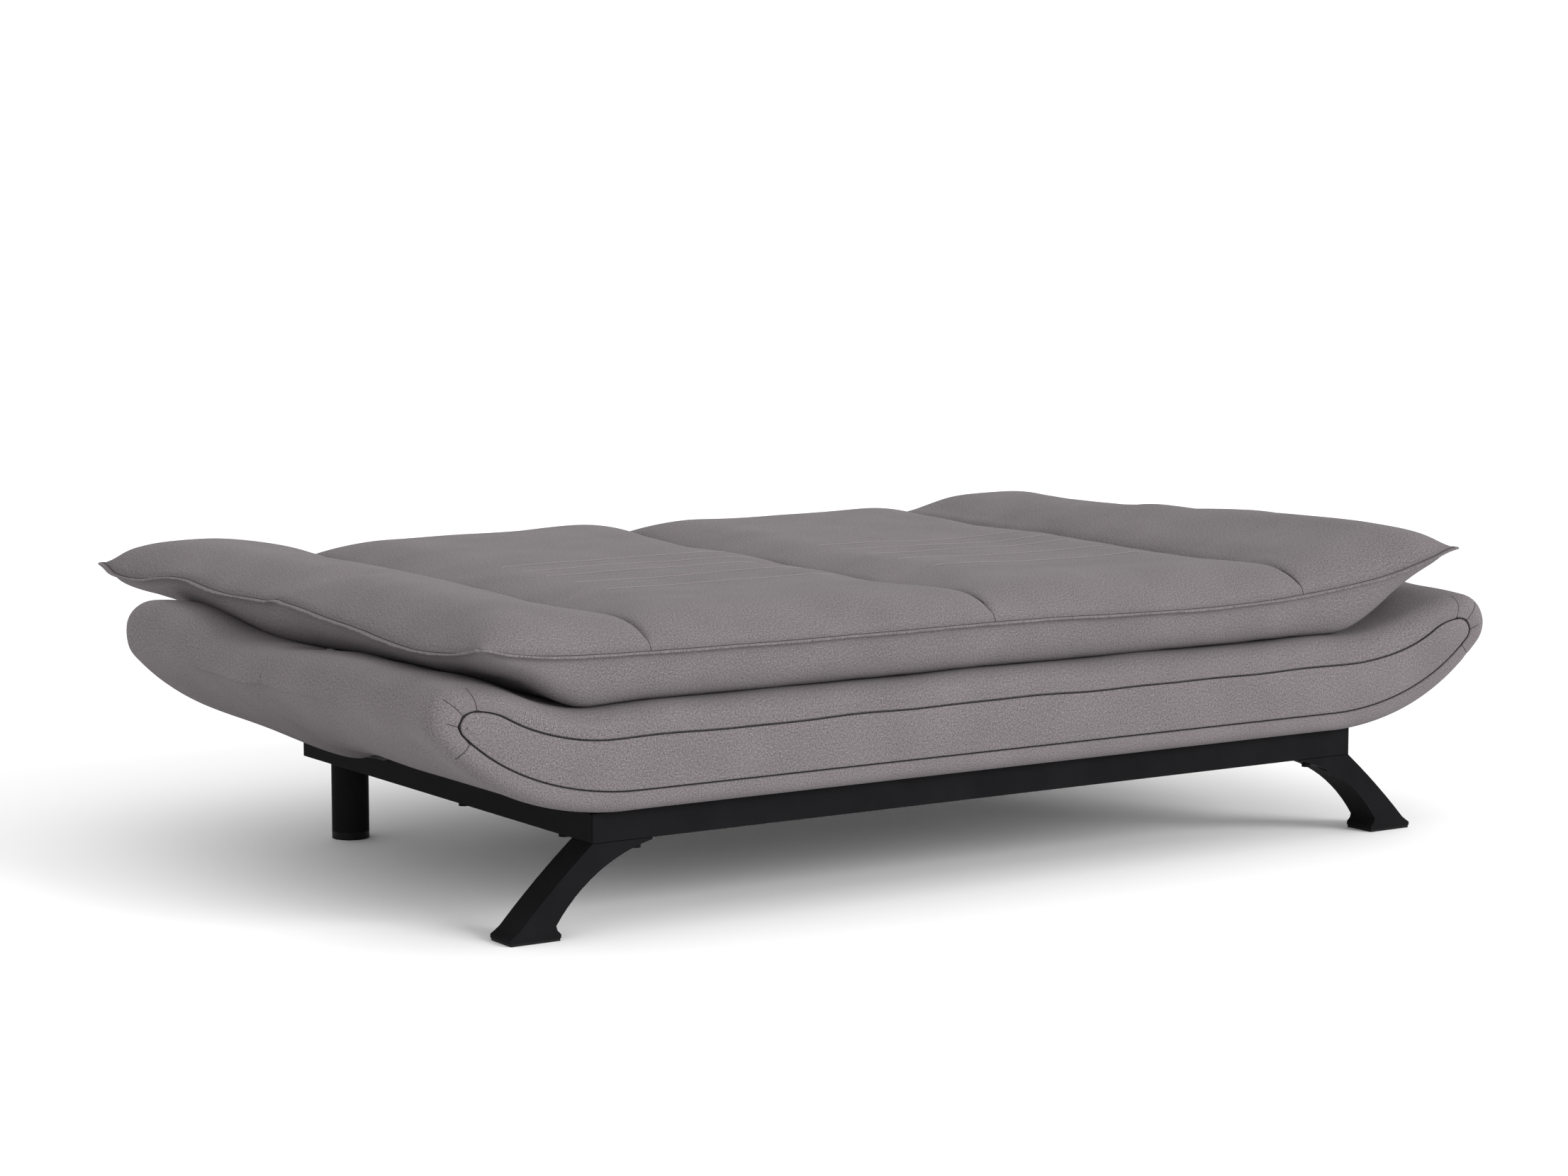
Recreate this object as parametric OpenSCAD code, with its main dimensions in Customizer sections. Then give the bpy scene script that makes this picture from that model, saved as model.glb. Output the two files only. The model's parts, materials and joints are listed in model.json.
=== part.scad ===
// Click-clack sofa bed, lying flat: steel frame on four legs, an upholstered
// seat and back joined by a pair of ratchet hinges, and a pad over both.
// X runs along the sofa, -Y is the front, Z is up from the floor.
// The origin is on the floor under the middle of the whole piece.

/* [Overall] */
// Length of the upholstered base over its upturned ends
base_len = 1968; // [1900:2:2100]
// Length of the pad
pad_len = 1830; // [1780:2:1850]
// Depth of the pad, which is the depth of the bed
pad_depth = 1280; // [1260:2:1300]
// How far the pad reaches in front of the steel frame
pad_overhang = 43; // [38:1:60]

/* [Upholstered base] */
// Height of the flat underside
base_bottom = 178; // [176:1:182]
// Height of the flat top, and of the hinge axis
base_top = 333; // [331:1:340]
// Radius of the rounded tip at each upturned end
tip_radius = 46; // [44:1:47]
// Depth from the front of the seat base to the rear of the back base
base_depth = 1046; // [1040:2:1060]
// How far the base reaches in front of the steel frame
base_overhang = 34; // [30:1:36]
// Depth of the seat half, from the frame's front to the fold
seat_depth = 501; // [495:1:505]

/* [Steel frame] */
// Length of the frame
frame_len = 1419; // [1410:1:1425]
// Depth of the frame
frame_depth = 916; // [900:1:930]
// Height of the rails' underside
rail_bottom = 133; // [130:1:134]
// Height of the rail section
rail_height = 44; // [42:1:44]
// Thickness of the rail section
rail_width = 25; // [25:1:30]
// Radius of the round rear legs
rear_leg_radius = 30; // [24:1:32]

/* [Hinge] */
// Travel from the flat bed to the upright back
back_angle = 75; // [60:1:75]
// Radius of the notched plate
notched_radius = 34; // [34:1:35]
// Radius of the hinge pins
pin_radius = 6; // [5:0.5:7]
// Radial play between the hinge pins and the back arms
pin_play = 0.05; // [0.02:0.01:0.1]

/* [Hidden] */
$fn = 64;
small_gap = 0.5;
arc_steps = 12;

// Places measured back from the frame's front
frame_y = pad_overhang - pad_depth / 2;
fold_y = frame_y + seat_depth;
base_front_y = frame_y - base_overhang;
base_rear_y = base_front_y + base_depth;
frame_rear_y = frame_y + frame_depth;
frame_end_x = frame_len / 2;
rail_top = rail_bottom + rail_height;
tube_wall = 2;

// The base's outline: flat underside, arc up to the round tip, an arc that
// eases down off the tip and a hollow arc that runs out into the flat top.
// Arc centres are given outwards from the frame's end.
belly_centre = [base_len / 2 - frame_end_x - 332.5, base_bottom + 450];
hollow_centre = [belly_centre[0] + 29, base_top + 300];

// Upholstery layers
skin = 2.5;
fold_gap = 1;
ply = 18;
board_bottom = base_bottom + 8;
board_top = base_top - 78;
former_top = base_top - 71;
cavity_top = base_top - 64;
core_tip_angle = 38;
core_tip_reach = 426;
seat_former_y = [frame_y - 4, fold_y - 50];
back_former_y = [fold_y + 32, base_rear_y - 48];
wire = 4;
spring_count = 9;
spring_pitch = 160;
clip = [16, 12, 6.4];
mitre_slope = tan(back_angle / 2);

// Hinge plates, outwards along X
seat_plate_x = frame_end_x + 147.5;
plate = 4;
back_plate_x = seat_plate_x + plate + small_gap;
head = 2.5;
hinge_end_x = back_plate_x + plate + small_gap;
slot_x = [seat_plate_x - 2.5, seat_plate_x + 22];
pawl_y = fold_y - 51;
pawl_z = base_top - 36;
pawl_tip = [27.8, 1.6];
notch_angle = 236;
screw_radius = 3;
bolt_radius = 4;
seat_screw_offsets = [[-101, -67], [-70, -68]];
back_screw_offsets = [[101, -67], [76, -66]];
rear_leg_at = [frame_end_x - 63, frame_rear_y - 40];
front_bolt_offsets = [45, 80];
seat_bolt_y = [frame_y + 100, frame_y + 400];
leg_width = 59;

fabric = [0.42, 0.40, 0.41];
black = [0.04, 0.04, 0.045];
timber = [0.76, 0.62, 0.42];
foam = [0.93, 0.90, 0.78];
zinc = [0.70, 0.71, 0.73];

// ---------------------------------------------------------------- helpers

// Extrudes an X-Z outline from y0 to y1
module along_y(y0, y1) {
    translate([0, y1, 0])
        rotate([90, 0, 0])
            linear_extrude(y1 - y0)
                children();
}

// Extrudes a Y-Z outline from x0 to x1
module along_x(x0, x1) {
    translate([x0, 0, 0])
        rotate([90, 0, 90])
            linear_extrude(x1 - x0)
                children();
}

// Box from its low corner to its high corner
module block(low, high) {
    translate(low)
        cube(high - low);
}

// Rod along X
module rod_x(x0, x1, y, z, r) {
    translate([x0, y, z])
        rotate([0, 90, 0])
            cylinder(h = x1 - x0, r = r);
}

module both_ends() {
    children();
    mirror([1, 0, 0])
        children();
}

// Left end for side -1, right end for side 1
module at_end(side) {
    mirror([side < 0 ? 1 : 0, 0, 0])
        children();
}

// Points of an arc about a centre, from one bearing to another
function arc(c, r, a0, a1, steps = arc_steps) =
    [for (i = [0 : steps]) let (a = a0 + (a1 - a0) * i / steps) c + r * [cos(a), sin(a)]];

// Points of an arc from p to q that rises to the left of the straight line
function bowed(p, q, rise, steps) =
    let (
        span = norm(q - p),
        left = [p[1] - q[1], q[0] - p[0]] / span,
        r = span * span / (8 * rise) + rise / 2,
        c = (p + q) / 2 + (rise - r) * left,
        from_p = p - c,
        from_q = q - c
    )
    arc(c, abs(r), atan2(from_p[1], from_p[0]), atan2(from_q[1], from_q[0]), steps);

function mirrored(points) = [for (i = [len(points) - 1 : -1 : 0]) [-points[i][0], points[i][1]]];

function outwards(points) = [for (p = points) [frame_end_x + p[0], p[1]]];

// Centre of the round tip for a given underside, tip radius and arc angle
function tip_centre(reach, angle) = belly_centre + reach * [sin(angle), -cos(angle)];

// Radius of the arc that eases from the top of the tip into the hollow
function easing_radius(tip, r, hollow_r) =
    let (dx = tip[0] - hollow_centre[0], h = hollow_centre[1] - tip[1] - r)
    (dx * dx + h * h - hollow_r * hollow_r) / (2 * (hollow_r - h));

// Upper side of one end, from above the tip inwards to the flat top
function upper_points(tip, r, hollow_r, a0 = 90) =
    let (
        ease_r = easing_radius(tip, r, hollow_r),
        ease_c = [tip[0], tip[1] + r - ease_r],
        turn = atan2(tip[0] - hollow_centre[0], hollow_centre[1] - ease_c[1])
    )
    concat(
        arc(ease_c, ease_r, a0, 90 + turn, 6),
        arc(hollow_centre, hollow_r, turn - 90, -90, 8)
    );

// One end of the outline, from the flat underside round the tip to the flat top
function end_points(bottom, top, tip_r, angle) =
    let (
        belly_r = belly_centre[1] - bottom,
        hollow_r = hollow_centre[1] - top,
        tip = tip_centre(belly_r - tip_r, angle)
    )
    concat(
        arc(belly_centre, belly_r, -90, angle - 90),
        arc(tip, tip_r, angle - 90, 90),
        upper_points(tip, tip_r, hollow_r)
    );

function banana(bottom, top, tip_r, angle) =
    let (right_end = outwards(end_points(bottom, top, tip_r, angle)))
    concat(right_end, mirrored(right_end));

module base_outline(inset = 0) {
    polygon(banana(base_bottom + inset, base_top - inset, tip_radius - inset, 45));
}

// Outline of the timber core, grown by a clearance
module core_outline(bottom, top) {
    polygon(banana(bottom, top, belly_centre[1] - bottom - core_tip_reach, core_tip_angle));
}

module panel_outline(grow = 0) {
    polygon(banana(base_bottom + 32 - grow, base_top - 47 + grow, 21 + grow, 41.8));
}

// Wedge cleared above the hinge axis so that the halves can close: side is -1
// for the seat and 1 for the back, and back_off moves the face away from the fold
module fold_relief(side, back_off = 0) {
    height = 200;
    face = fold_y + side * (fold_gap + back_off);
    along_x(-base_len, base_len)
        polygon([
            [face, base_top],
            [face + side * height * mitre_slope, base_top + height],
            [fold_y - side * base_len, base_top + height],
            [fold_y - side * base_len, base_top - 400],
            [face, base_top - 400]
        ]);
}

// Room for the hinge plates inside the upholstery
module hinge_slots(reach, low, high) {
    both_ends()
        block([slot_x[0], fold_y - reach, low], [slot_x[1], fold_y + reach, high]);
}

// ---------------------------------------------------------------- frame

// Rail with mitred ends. The outline is the rail's plan, the bore runs along it
module mitred_rail(plan, bore_low, bore_high) {
    difference() {
        translate([0, 0, rail_bottom])
            linear_extrude(rail_height)
                polygon(plan);
        block(
            [bore_low[0], bore_low[1], rail_bottom + tube_wall],
            [bore_high[0], bore_high[1], rail_top - tube_wall]
        );
    }
}

module front_bolt_holes(r, z0, z1) {
    for (side = [-1, 1], inward = front_bolt_offsets)
        translate([side * (frame_end_x - inward), frame_y + rail_width / 2, z0])
            cylinder(h = z1 - z0, r = r);
}

module front_rail() {
    plan = [
        [-frame_end_x, frame_y], [frame_end_x, frame_y],
        [frame_end_x - rail_width, frame_y + rail_width],
        [rail_width - frame_end_x, frame_y + rail_width]
    ];
    color(black)
    difference() {
        mitred_rail(
            plan,
            [-frame_len, frame_y + tube_wall],
            [frame_len, frame_y + rail_width - tube_wall]
        );
        front_bolt_holes(bolt_radius + 0.25, rail_bottom - 1, rail_bottom + 5);
    }
}

module rear_rail() {
    plan = [
        [-frame_end_x, frame_rear_y], [rail_width - frame_end_x, frame_rear_y - rail_width],
        [frame_end_x - rail_width, frame_rear_y - rail_width], [frame_end_x, frame_rear_y]
    ];
    color(black)
    mitred_rail(
        plan,
        [-frame_len, frame_rear_y - rail_width + tube_wall],
        [frame_len, frame_rear_y - tube_wall]
    );
}

module seat_bolt_holes(r, z0, z1) {
    for (side = [-1, 1], y = seat_bolt_y)
        translate([side * (frame_end_x - rail_width / 2), y, z0])
            cylinder(h = z1 - z0, r = r);
}

module side_rail(side) {
    plan = [
        [frame_end_x, frame_y], [frame_end_x, frame_rear_y],
        [frame_end_x - rail_width, frame_rear_y - rail_width],
        [frame_end_x - rail_width, frame_y + rail_width]
    ];
    color(black)
    difference() {
        at_end(side)
            mitred_rail(
                plan,
                [frame_end_x - rail_width + tube_wall, frame_y - 1],
                [frame_end_x - tube_wall, frame_rear_y + 1]
            );
        seat_bolt_holes(bolt_radius + 0.25, rail_bottom - 1, rail_top + 1);
    }
}

module left_side_rail() { side_rail(-1); }
module right_side_rail() { side_rail(1); }

// Square tubes from the front rail to the rear rail
module cross_tubes() {
    low_y = frame_y + rail_width;
    high_y = frame_rear_y - rail_width;
    color(black)
    for (x = [-235, 235])
        difference() {
            block([x - 12.5, low_y, rail_top - 25], [x + 12.5, high_y, rail_top]);
            block([x - 10.5, low_y - 1, rail_top - 23], [x + 10.5, high_y + 1, rail_top - 2]);
        }
}

// Curved front leg: a slightly bowed outer side, a hollow inner side and a
// foot that flares outwards. The outline runs outwards from the frame's end.
foot_pad = 4;
foot_reach = [51, 133];
foot_top = 9.5;
function leg_points() = concat(
    bowed([-1, rail_bottom], [118, 20], 2.5, 6),
    [[126, 14], [foot_reach[1], foot_top], [foot_reach[1], foot_pad]],
    [[foot_reach[0], foot_pad], [foot_reach[0], foot_top], [57, 15.5]],
    bowed([59, 22], [-101, rail_bottom - 2.5], -19, 12),
    [[-101, rail_bottom]]
);

module front_leg(side) {
    color(black)
    difference() {
        at_end(side)
            along_y(frame_y, frame_y + leg_width)
                polygon(outwards(leg_points()));
        front_bolt_holes(bolt_radius + 0.25, 60, rail_bottom + 1);
        front_bolt_holes(8.5, 60, rail_bottom - 8);
    }
}

module left_front_leg() { front_leg(-1); }
module right_front_leg() { front_leg(1); }

// Thin plastic pads under the front feet
module front_foot_pads() {
    color(black)
    both_ends()
        block(
            [frame_end_x + foot_reach[0] + 1, frame_y + 1, 0],
            [frame_end_x + foot_reach[1] - 1, frame_y + leg_width - 1, foot_pad]
        );
}

glide_height = 12;

module rear_leg(side) {
    color(black)
    at_end(side)
        translate([rear_leg_at[0], rear_leg_at[1], 0])
            difference() {
                translate([0, 0, glide_height])
                    cylinder(h = rail_bottom - glide_height, r = rear_leg_radius);
                translate([0, 0, glide_height - 1])
                    cylinder(h = rail_bottom - glide_height - 4, r = rear_leg_radius - 2);
                cylinder(h = rail_bottom + 1, r = bolt_radius + 0.25);
            }
}

module left_rear_leg() { rear_leg(-1); }
module right_rear_leg() { rear_leg(1); }

// Corner plates that carry the rear legs
module rear_leg_plates() {
    color(black)
    both_ends()
        difference() {
            block(
                [frame_end_x - 110, frame_rear_y - 100, rail_bottom],
                [frame_end_x - rail_width, frame_rear_y - rail_width, rail_bottom + 4]
            );
            translate([rear_leg_at[0], rear_leg_at[1], 0])
                cylinder(h = rail_top, r = bolt_radius + 0.25);
        }
}

// Plastic glide that plugs into each rear leg
module rear_leg_glides() {
    color(black)
    both_ends()
        translate([rear_leg_at[0], rear_leg_at[1], 0]) {
            cylinder(h = glide_height, r = rear_leg_radius);
            cylinder(h = glide_height + 12, r = rear_leg_radius - 2.3);
        }
}

module front_leg_bolts() {
    color(zinc) {
        front_bolt_holes(bolt_radius, rail_bottom - 9, rail_bottom + 12);
        front_bolt_holes(7, rail_bottom - 14, rail_bottom - 8);
    }
}

module rear_leg_bolts() {
    color(zinc)
    both_ends()
        translate([rear_leg_at[0], rear_leg_at[1], 0]) {
            translate([0, 0, rail_bottom + 4])
                cylinder(h = 5, r = 7, $fn = 6);
            translate([0, 0, rail_bottom - 20])
                cylinder(h = 26, r = bolt_radius);
        }
}

module seat_mounting_bolts() {
    color(zinc) {
        seat_bolt_holes(bolt_radius, rail_bottom - 2, board_bottom + 40);
        seat_bolt_holes(8, rail_bottom - 5, rail_bottom);
    }
}

// ---------------------------------------------------------------- timber

// Plywood former with the outline of the core, notched for the hinge plates
module former(y, notched) {
    color(timber)
    difference() {
        along_y(y, y + ply)
            core_outline(base_bottom + 6.6, former_top);
        if (notched)
            hinge_slots(100, base_top - 73, base_top + 20);
    }
}

module seat_front_former() { former(seat_former_y[0], false); }
module seat_rear_former() { former(seat_former_y[1], true); }
module back_front_former() { former(back_former_y[0], true); }
module back_rear_former() { former(back_former_y[1], false); }

// Boards from former to former, between the springs and over the side rails
module cross_boards(former_y) {
    color(timber)
    for (x = [-frame_end_x + rail_width / 2, -235, 235, frame_end_x - rail_width / 2])
        block(
            [x - ply / 2, former_y[0] + ply, board_bottom],
            [x + ply / 2, former_y[1], board_top]
        );
}

module seat_cross_boards() { cross_boards(seat_former_y); }
module back_cross_boards() { cross_boards(back_former_y); }

// Boards in the upturned ends that the hinges are screwed to
module end_boards(former_y, outer_x) {
    color(timber)
    both_ends()
        block(
            [outer_x - ply, former_y[0] + ply, base_bottom + 62],
            [outer_x, former_y[1], base_top - 37]
        );
}

module seat_end_boards() { end_boards(seat_former_y, seat_plate_x); }
module back_end_boards() { end_boards(back_former_y, back_plate_x); }

// Bent hardboard under the upturned ends, outside the cross boards
module bottom_boards(y0, y1) {
    outer_r = belly_centre[1] - base_bottom - 3;
    sheet = concat(
        arc(belly_centre, outer_r, -82, -56, 10),
        arc(belly_centre, outer_r - 3, -56, -82, 10)
    );
    color(timber)
    both_ends()
        along_y(y0, y1)
            polygon(outwards(sheet));
}

module seat_bottom_boards() { bottom_boards(seat_former_y[0], seat_former_y[1] + ply); }
module back_bottom_boards() { bottom_boards(back_former_y[0], back_former_y[1] + ply); }

// ---------------------------------------------------------------- springs

// Side edge of a zigzag wire: straight at the ends, waves between them
function wave_x(t) = 22 * sin(1800 * t);
function wave_edge(length, offset) = [
    for (i = [0 : 60])
        let (
            t = i / 60,
            lean = atan(22 * 31.42 * cos(1800 * t) / length)
        )
        [wave_x(t) + offset * cos(lean), t * length - offset * sin(lean)]
];

module zigzag(y0, y1) {
    length = y1 - y0;
    right_edge = wave_edge(length, wire / 2);
    left_edge = wave_edge(length, -wire / 2);
    translate([0, y0, former_top])
        linear_extrude(wire)
            polygon(concat(
                [[wire / 2, -16]],
                right_edge,
                [[wire / 2, length + 16], [-wire / 2, length + 16]],
                [for (i = [60 : -1 : 0]) left_edge[i]],
                [[-wire / 2, -16]]
            ));
}

function spring_places() =
    [for (i = [0 : spring_count - 1]) (i - (spring_count - 1) / 2) * spring_pitch];

module springs(former_y) {
    color(zinc)
    for (x = spring_places())
        translate([x, 0, 0])
            zigzag(former_y[0] + ply + 4, former_y[1] - 4);
}

module seat_springs() { springs(seat_former_y); }
module back_springs() { springs(back_former_y); }

// Clips that hold the wire ends down on the formers
module spring_clips(former_y) {
    color(zinc)
    for (x = spring_places(), y = former_y)
        translate([x, y + ply / 2, former_top])
            difference() {
                translate([-clip[0] / 2, -clip[1] / 2, 0])
                    cube(clip);
                translate([-wire / 2 - 0.2, -clip[1], -1])
                    cube([wire + 0.4, clip[1] * 2, wire + 1.2]);
            }
}

module seat_spring_clips() { spring_clips(seat_former_y); }
module back_spring_clips() { spring_clips(back_former_y); }

// ---------------------------------------------------------------- upholstery

// Foam wrapped over the core, open underneath where the timber lies
module foam_half(side, y0, y1, former_y) {
    color(foam)
    difference() {
        along_y(y0 + (side > 0 ? 0 : skin), y1 - (side > 0 ? skin : 0))
            base_outline(skin + 0.2);
        fold_relief(side, skin + 0.2);
        along_y(former_y[0] - 2, former_y[1] + ply + 2)
            core_outline(base_bottom + 2, cavity_top);
        hinge_slots(80, base_top - 78, base_top + notched_radius + 3);
    }
}

module seat_foam() { foam_half(-1, base_front_y + 0.2, fold_y, seat_former_y); }
module back_foam() { foam_half(1, fold_y, base_rear_y - 0.2, back_former_y); }

// Fabric cover: a sewn skin, open underneath for the dust cover, with the long
// panel let into its outer side
module cover_half(side, y0, y1, panel_y) {
    color(fabric)
    difference() {
        along_y(y0, y1)
            base_outline();
        fold_relief(side);
        difference() {
            along_y(y0 + (side > 0 ? -1 : skin), y1 - (side > 0 ? skin : -1))
                base_outline(skin);
            fold_relief(side, skin);
        }
        block([-640, y0 + 45, 0], [640, y1 - 45, base_bottom + skin + 1]);
        along_y(panel_y[0] - 1, panel_y[1] + 1)
            panel_outline(small_gap);
        hinge_slots(notched_radius + 8, base_top - 48, base_top + notched_radius + 3);
        seat_bolt_holes(bolt_radius + 1, base_bottom - 1, board_bottom);
    }
}

module seat_cover() {
    cover_half(-1, base_front_y, fold_y, [base_front_y, base_front_y + skin]);
}

module back_cover() {
    cover_half(1, fold_y, base_rear_y, [base_rear_y - skin, base_rear_y]);
}

module seat_front_panel() {
    color(fabric)
    along_y(base_front_y, base_front_y + skin)
        panel_outline();
}

module back_rear_panel() {
    color(fabric)
    along_y(base_rear_y - skin, base_rear_y)
        panel_outline();
}

module dust_cover(y0, y1) {
    color(black)
    block([-639, y0 + 46, base_bottom], [639, y1 - 46, base_bottom + 1.5]);
}

module seat_dust_cover() { dust_cover(base_front_y, fold_y); }
module back_dust_cover() { dust_cover(fold_y, base_rear_y); }

// ---------------------------------------------------------------- pad

pad_crown = base_top + 141;
pad_skin = 2;

// End-to-end outline: its underside follows the base's top a little above it
function pad_points(inset) =
    let (
        lift = 1.5 + inset,
        belly_r = belly_centre[1] - base_bottom,
        tip = tip_centre(belly_r - tip_radius, 45),
        reach = pad_len / 2 - frame_end_x - inset,
        ease_r = easing_radius(tip, tip_radius, hollow_centre[1] - base_top) + lift,
        start = acos((reach - tip[0]) / ease_r),
        under = upper_points(tip, tip_radius + lift, hollow_centre[1] - base_top - lift, start)
    )
    concat([[reach - 60, pad_crown - inset], [reach, pad_crown - 30 - inset]], under);

module pad_block(side, inset = 0) {
    right_end = outwards(pad_points(inset));
    front = -pad_depth / 2 + inset;
    low = base_top + inset;
    high = pad_crown - inset;
    section = [
        [front, low + 68], [front + 18, low + 28], [front + 52, low - 5],
        [-front - 52, low - 5], [-front - 18, low + 28], [-front, low + 68],
        [-front - 22, high - 34], [-front - 70, high], [front + 70, high], [front + 22, high - 34]
    ];
    difference() {
        intersection() {
            along_y(-pad_depth / 2, pad_depth / 2)
                polygon(concat(mirrored(right_end), right_end));
            along_x(-pad_len, pad_len)
                polygon(section);
        }
        fold_relief(side, inset);
    }
}

module pad_core(side) {
    color(foam)
    pad_block(side, pad_skin + 0.2);
}

module pad_cover(side) {
    color(fabric)
    difference() {
        pad_block(side);
        pad_block(side, pad_skin);
    }
}

module pad_seat_core() { pad_core(-1); }
module pad_back_core() { pad_core(1); }
module pad_seat_cover() { pad_cover(-1); }
module pad_back_cover() { pad_cover(1); }

// The padding at the fold, which is squashed as the back comes up
module pad_fold() {
    right_end = outwards(pad_points(0));
    height = pad_crown - base_top - 8;
    half = height * mitre_slope - fold_gap / 2;
    color(fabric)
    intersection() {
        along_y(fold_y - half - 1, fold_y + half + 1)
            polygon(concat(mirrored(right_end), right_end));
        along_x(-pad_len, pad_len)
            polygon([
                [fold_y, base_top + 2],
                [fold_y + half, base_top + height],
                [fold_y - half, base_top + height]
            ]);
    }
}

// ---------------------------------------------------------------- hinge

function from_pivot(points) = [for (p = points) [fold_y + p[0], base_top + p[1]]];

bracket_points = [
    [-116, -89], [-116, -45], [-71, -33], [-14, 14], [14, -14], [-51, -71], [-51, -89]
];
arm_points = [
    [116, -89], [116, -45], [74, -33], [29, 12], [0, 0], [0, -30], [51, -71], [51, -89]
];

module seat_bracket(side) {
    x0 = seat_plate_x;
    x1 = x0 + plate;
    color(zinc)
    at_end(side)
        difference() {
            union() {
                along_x(x0, x1)
                    polygon(from_pivot(bracket_points));
                rod_x(x0, x1, fold_y, base_top, 20);
            }
            rod_x(x0 - 1, x1 + 1, fold_y, base_top, pin_radius);
            rod_x(x0 - 1, x1 + 1, pawl_y, pawl_z, 4);
            for (s = seat_screw_offsets)
                rod_x(x0 - 1, x1 + 1, fold_y + s[0], base_top + s[1], screw_radius);
        }
}

module left_seat_bracket() { seat_bracket(-1); }
module right_seat_bracket() { seat_bracket(1); }

// Back arm with the notched plate: one notch for each place the back holds
module back_arm(side) {
    x0 = back_plate_x;
    x1 = x0 + plate;
    color(zinc)
    at_end(side)
        difference() {
            union() {
                along_x(x0, x1)
                    polygon(from_pivot(arm_points));
                rod_x(x0, x1, fold_y, base_top, notched_radius);
            }
            rod_x(x0 - 1, x1 + 1, fold_y, base_top, pin_radius + pin_play);
            for (raised = [0, back_angle / 2, back_angle])
                rod_x(
                    x0 - 1, x1 + 1,
                    fold_y + notched_radius * cos(notch_angle - raised),
                    base_top + notched_radius * sin(notch_angle - raised),
                    7
                );
            for (s = back_screw_offsets)
                rod_x(x0 - 1, x1 + 1, fold_y + s[0], base_top + s[1], screw_radius);
        }
}

module left_back_arm() { back_arm(-1); }
module right_back_arm() { back_arm(1); }

module hinge_pins() {
    color(zinc)
    both_ends() {
        rod_x(seat_plate_x - 2, hinge_end_x + head, fold_y, base_top, pin_radius);
        rod_x(seat_plate_x - 2, seat_plate_x, fold_y, base_top, 10);
        rod_x(hinge_end_x, hinge_end_x + head, fold_y, base_top, 10);
    }
}

// Pawl: hub on its pin, a bar and a round tip that drops into a notch
module pawl(side) {
    x0 = back_plate_x;
    x1 = x0 + plate;
    color(zinc)
    at_end(side)
        difference() {
            union() {
                rod_x(x0, x1, pawl_y, pawl_z, 8);
                rod_x(x0, x1, pawl_y + pawl_tip[0], pawl_z + pawl_tip[1], 4);
                along_x(x0, x1)
                    polygon([
                        [pawl_y, pawl_z - 5],
                        [pawl_y + pawl_tip[0], pawl_z + pawl_tip[1] - 3.9],
                        [pawl_y + pawl_tip[0], pawl_z + pawl_tip[1] + 3.9],
                        [pawl_y, pawl_z + 5]
                    ]);
            }
            rod_x(x0 - 1, x1 + 1, pawl_y, pawl_z, 4 + pin_play);
        }
}

module left_pawl() { pawl(-1); }
module right_pawl() { pawl(1); }

module pawl_pins() {
    color(zinc)
    both_ends() {
        rod_x(seat_plate_x, hinge_end_x + 8, pawl_y, pawl_z, 4);
        rod_x(hinge_end_x + 8, hinge_end_x + 9.5, pawl_y, pawl_z, 6.5);
    }
}

// Coiled springs on the pawl pins: rings of wire side by side
module pawl_springs() {
    coil_wire = 0.7;
    color(zinc)
    both_ends()
        translate([hinge_end_x + 0.3, pawl_y, pawl_z])
            rotate([0, 90, 0])
                rotate_extrude()
                    for (i = [0 : 4])
                        translate([5, coil_wire + i * 1.3])
                            circle(r = coil_wire, $fn = 16);
}

module hinge_screws(x_head, offsets) {
    color(zinc)
    both_ends()
        for (s = offsets) {
            rod_x(x_head - 16, x_head, fold_y + s[0], base_top + s[1], screw_radius);
            rod_x(x_head, x_head + head, fold_y + s[0], base_top + s[1], 6);
        }
}

module seat_hinge_screws() { hinge_screws(seat_plate_x + plate, seat_screw_offsets); }
module back_hinge_screws() { hinge_screws(back_plate_x + plate, back_screw_offsets); }

// ---------------------------------------------------------------- nodes

front_rail();
rear_rail();
left_side_rail();
right_side_rail();
cross_tubes();
left_front_leg();
right_front_leg();
front_foot_pads();
left_rear_leg();
right_rear_leg();
rear_leg_plates();
rear_leg_glides();
front_leg_bolts();
rear_leg_bolts();
seat_mounting_bolts();
seat_front_former();
seat_rear_former();
seat_cross_boards();
seat_end_boards();
seat_bottom_boards();
seat_springs();
seat_spring_clips();
seat_foam();
seat_cover();
seat_front_panel();
seat_dust_cover();
back_front_former();
back_rear_former();
back_cross_boards();
back_end_boards();
back_bottom_boards();
back_springs();
back_spring_clips();
back_foam();
back_cover();
back_rear_panel();
back_dust_cover();
pad_seat_core();
pad_seat_cover();
pad_back_core();
pad_back_cover();
pad_fold();
left_seat_bracket();
right_seat_bracket();
left_back_arm();
right_back_arm();
hinge_pins();
left_pawl();
right_pawl();
pawl_pins();
pawl_springs();
seat_hinge_screws();
back_hinge_screws();
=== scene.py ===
"""Looks of a click-clack sofa bed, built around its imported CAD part."""

import json
import math

import bmesh
import bpy
import numpy as np
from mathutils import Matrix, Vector
from mathutils.bvhtree import BVHTree
from numpy.linalg import norm


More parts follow.
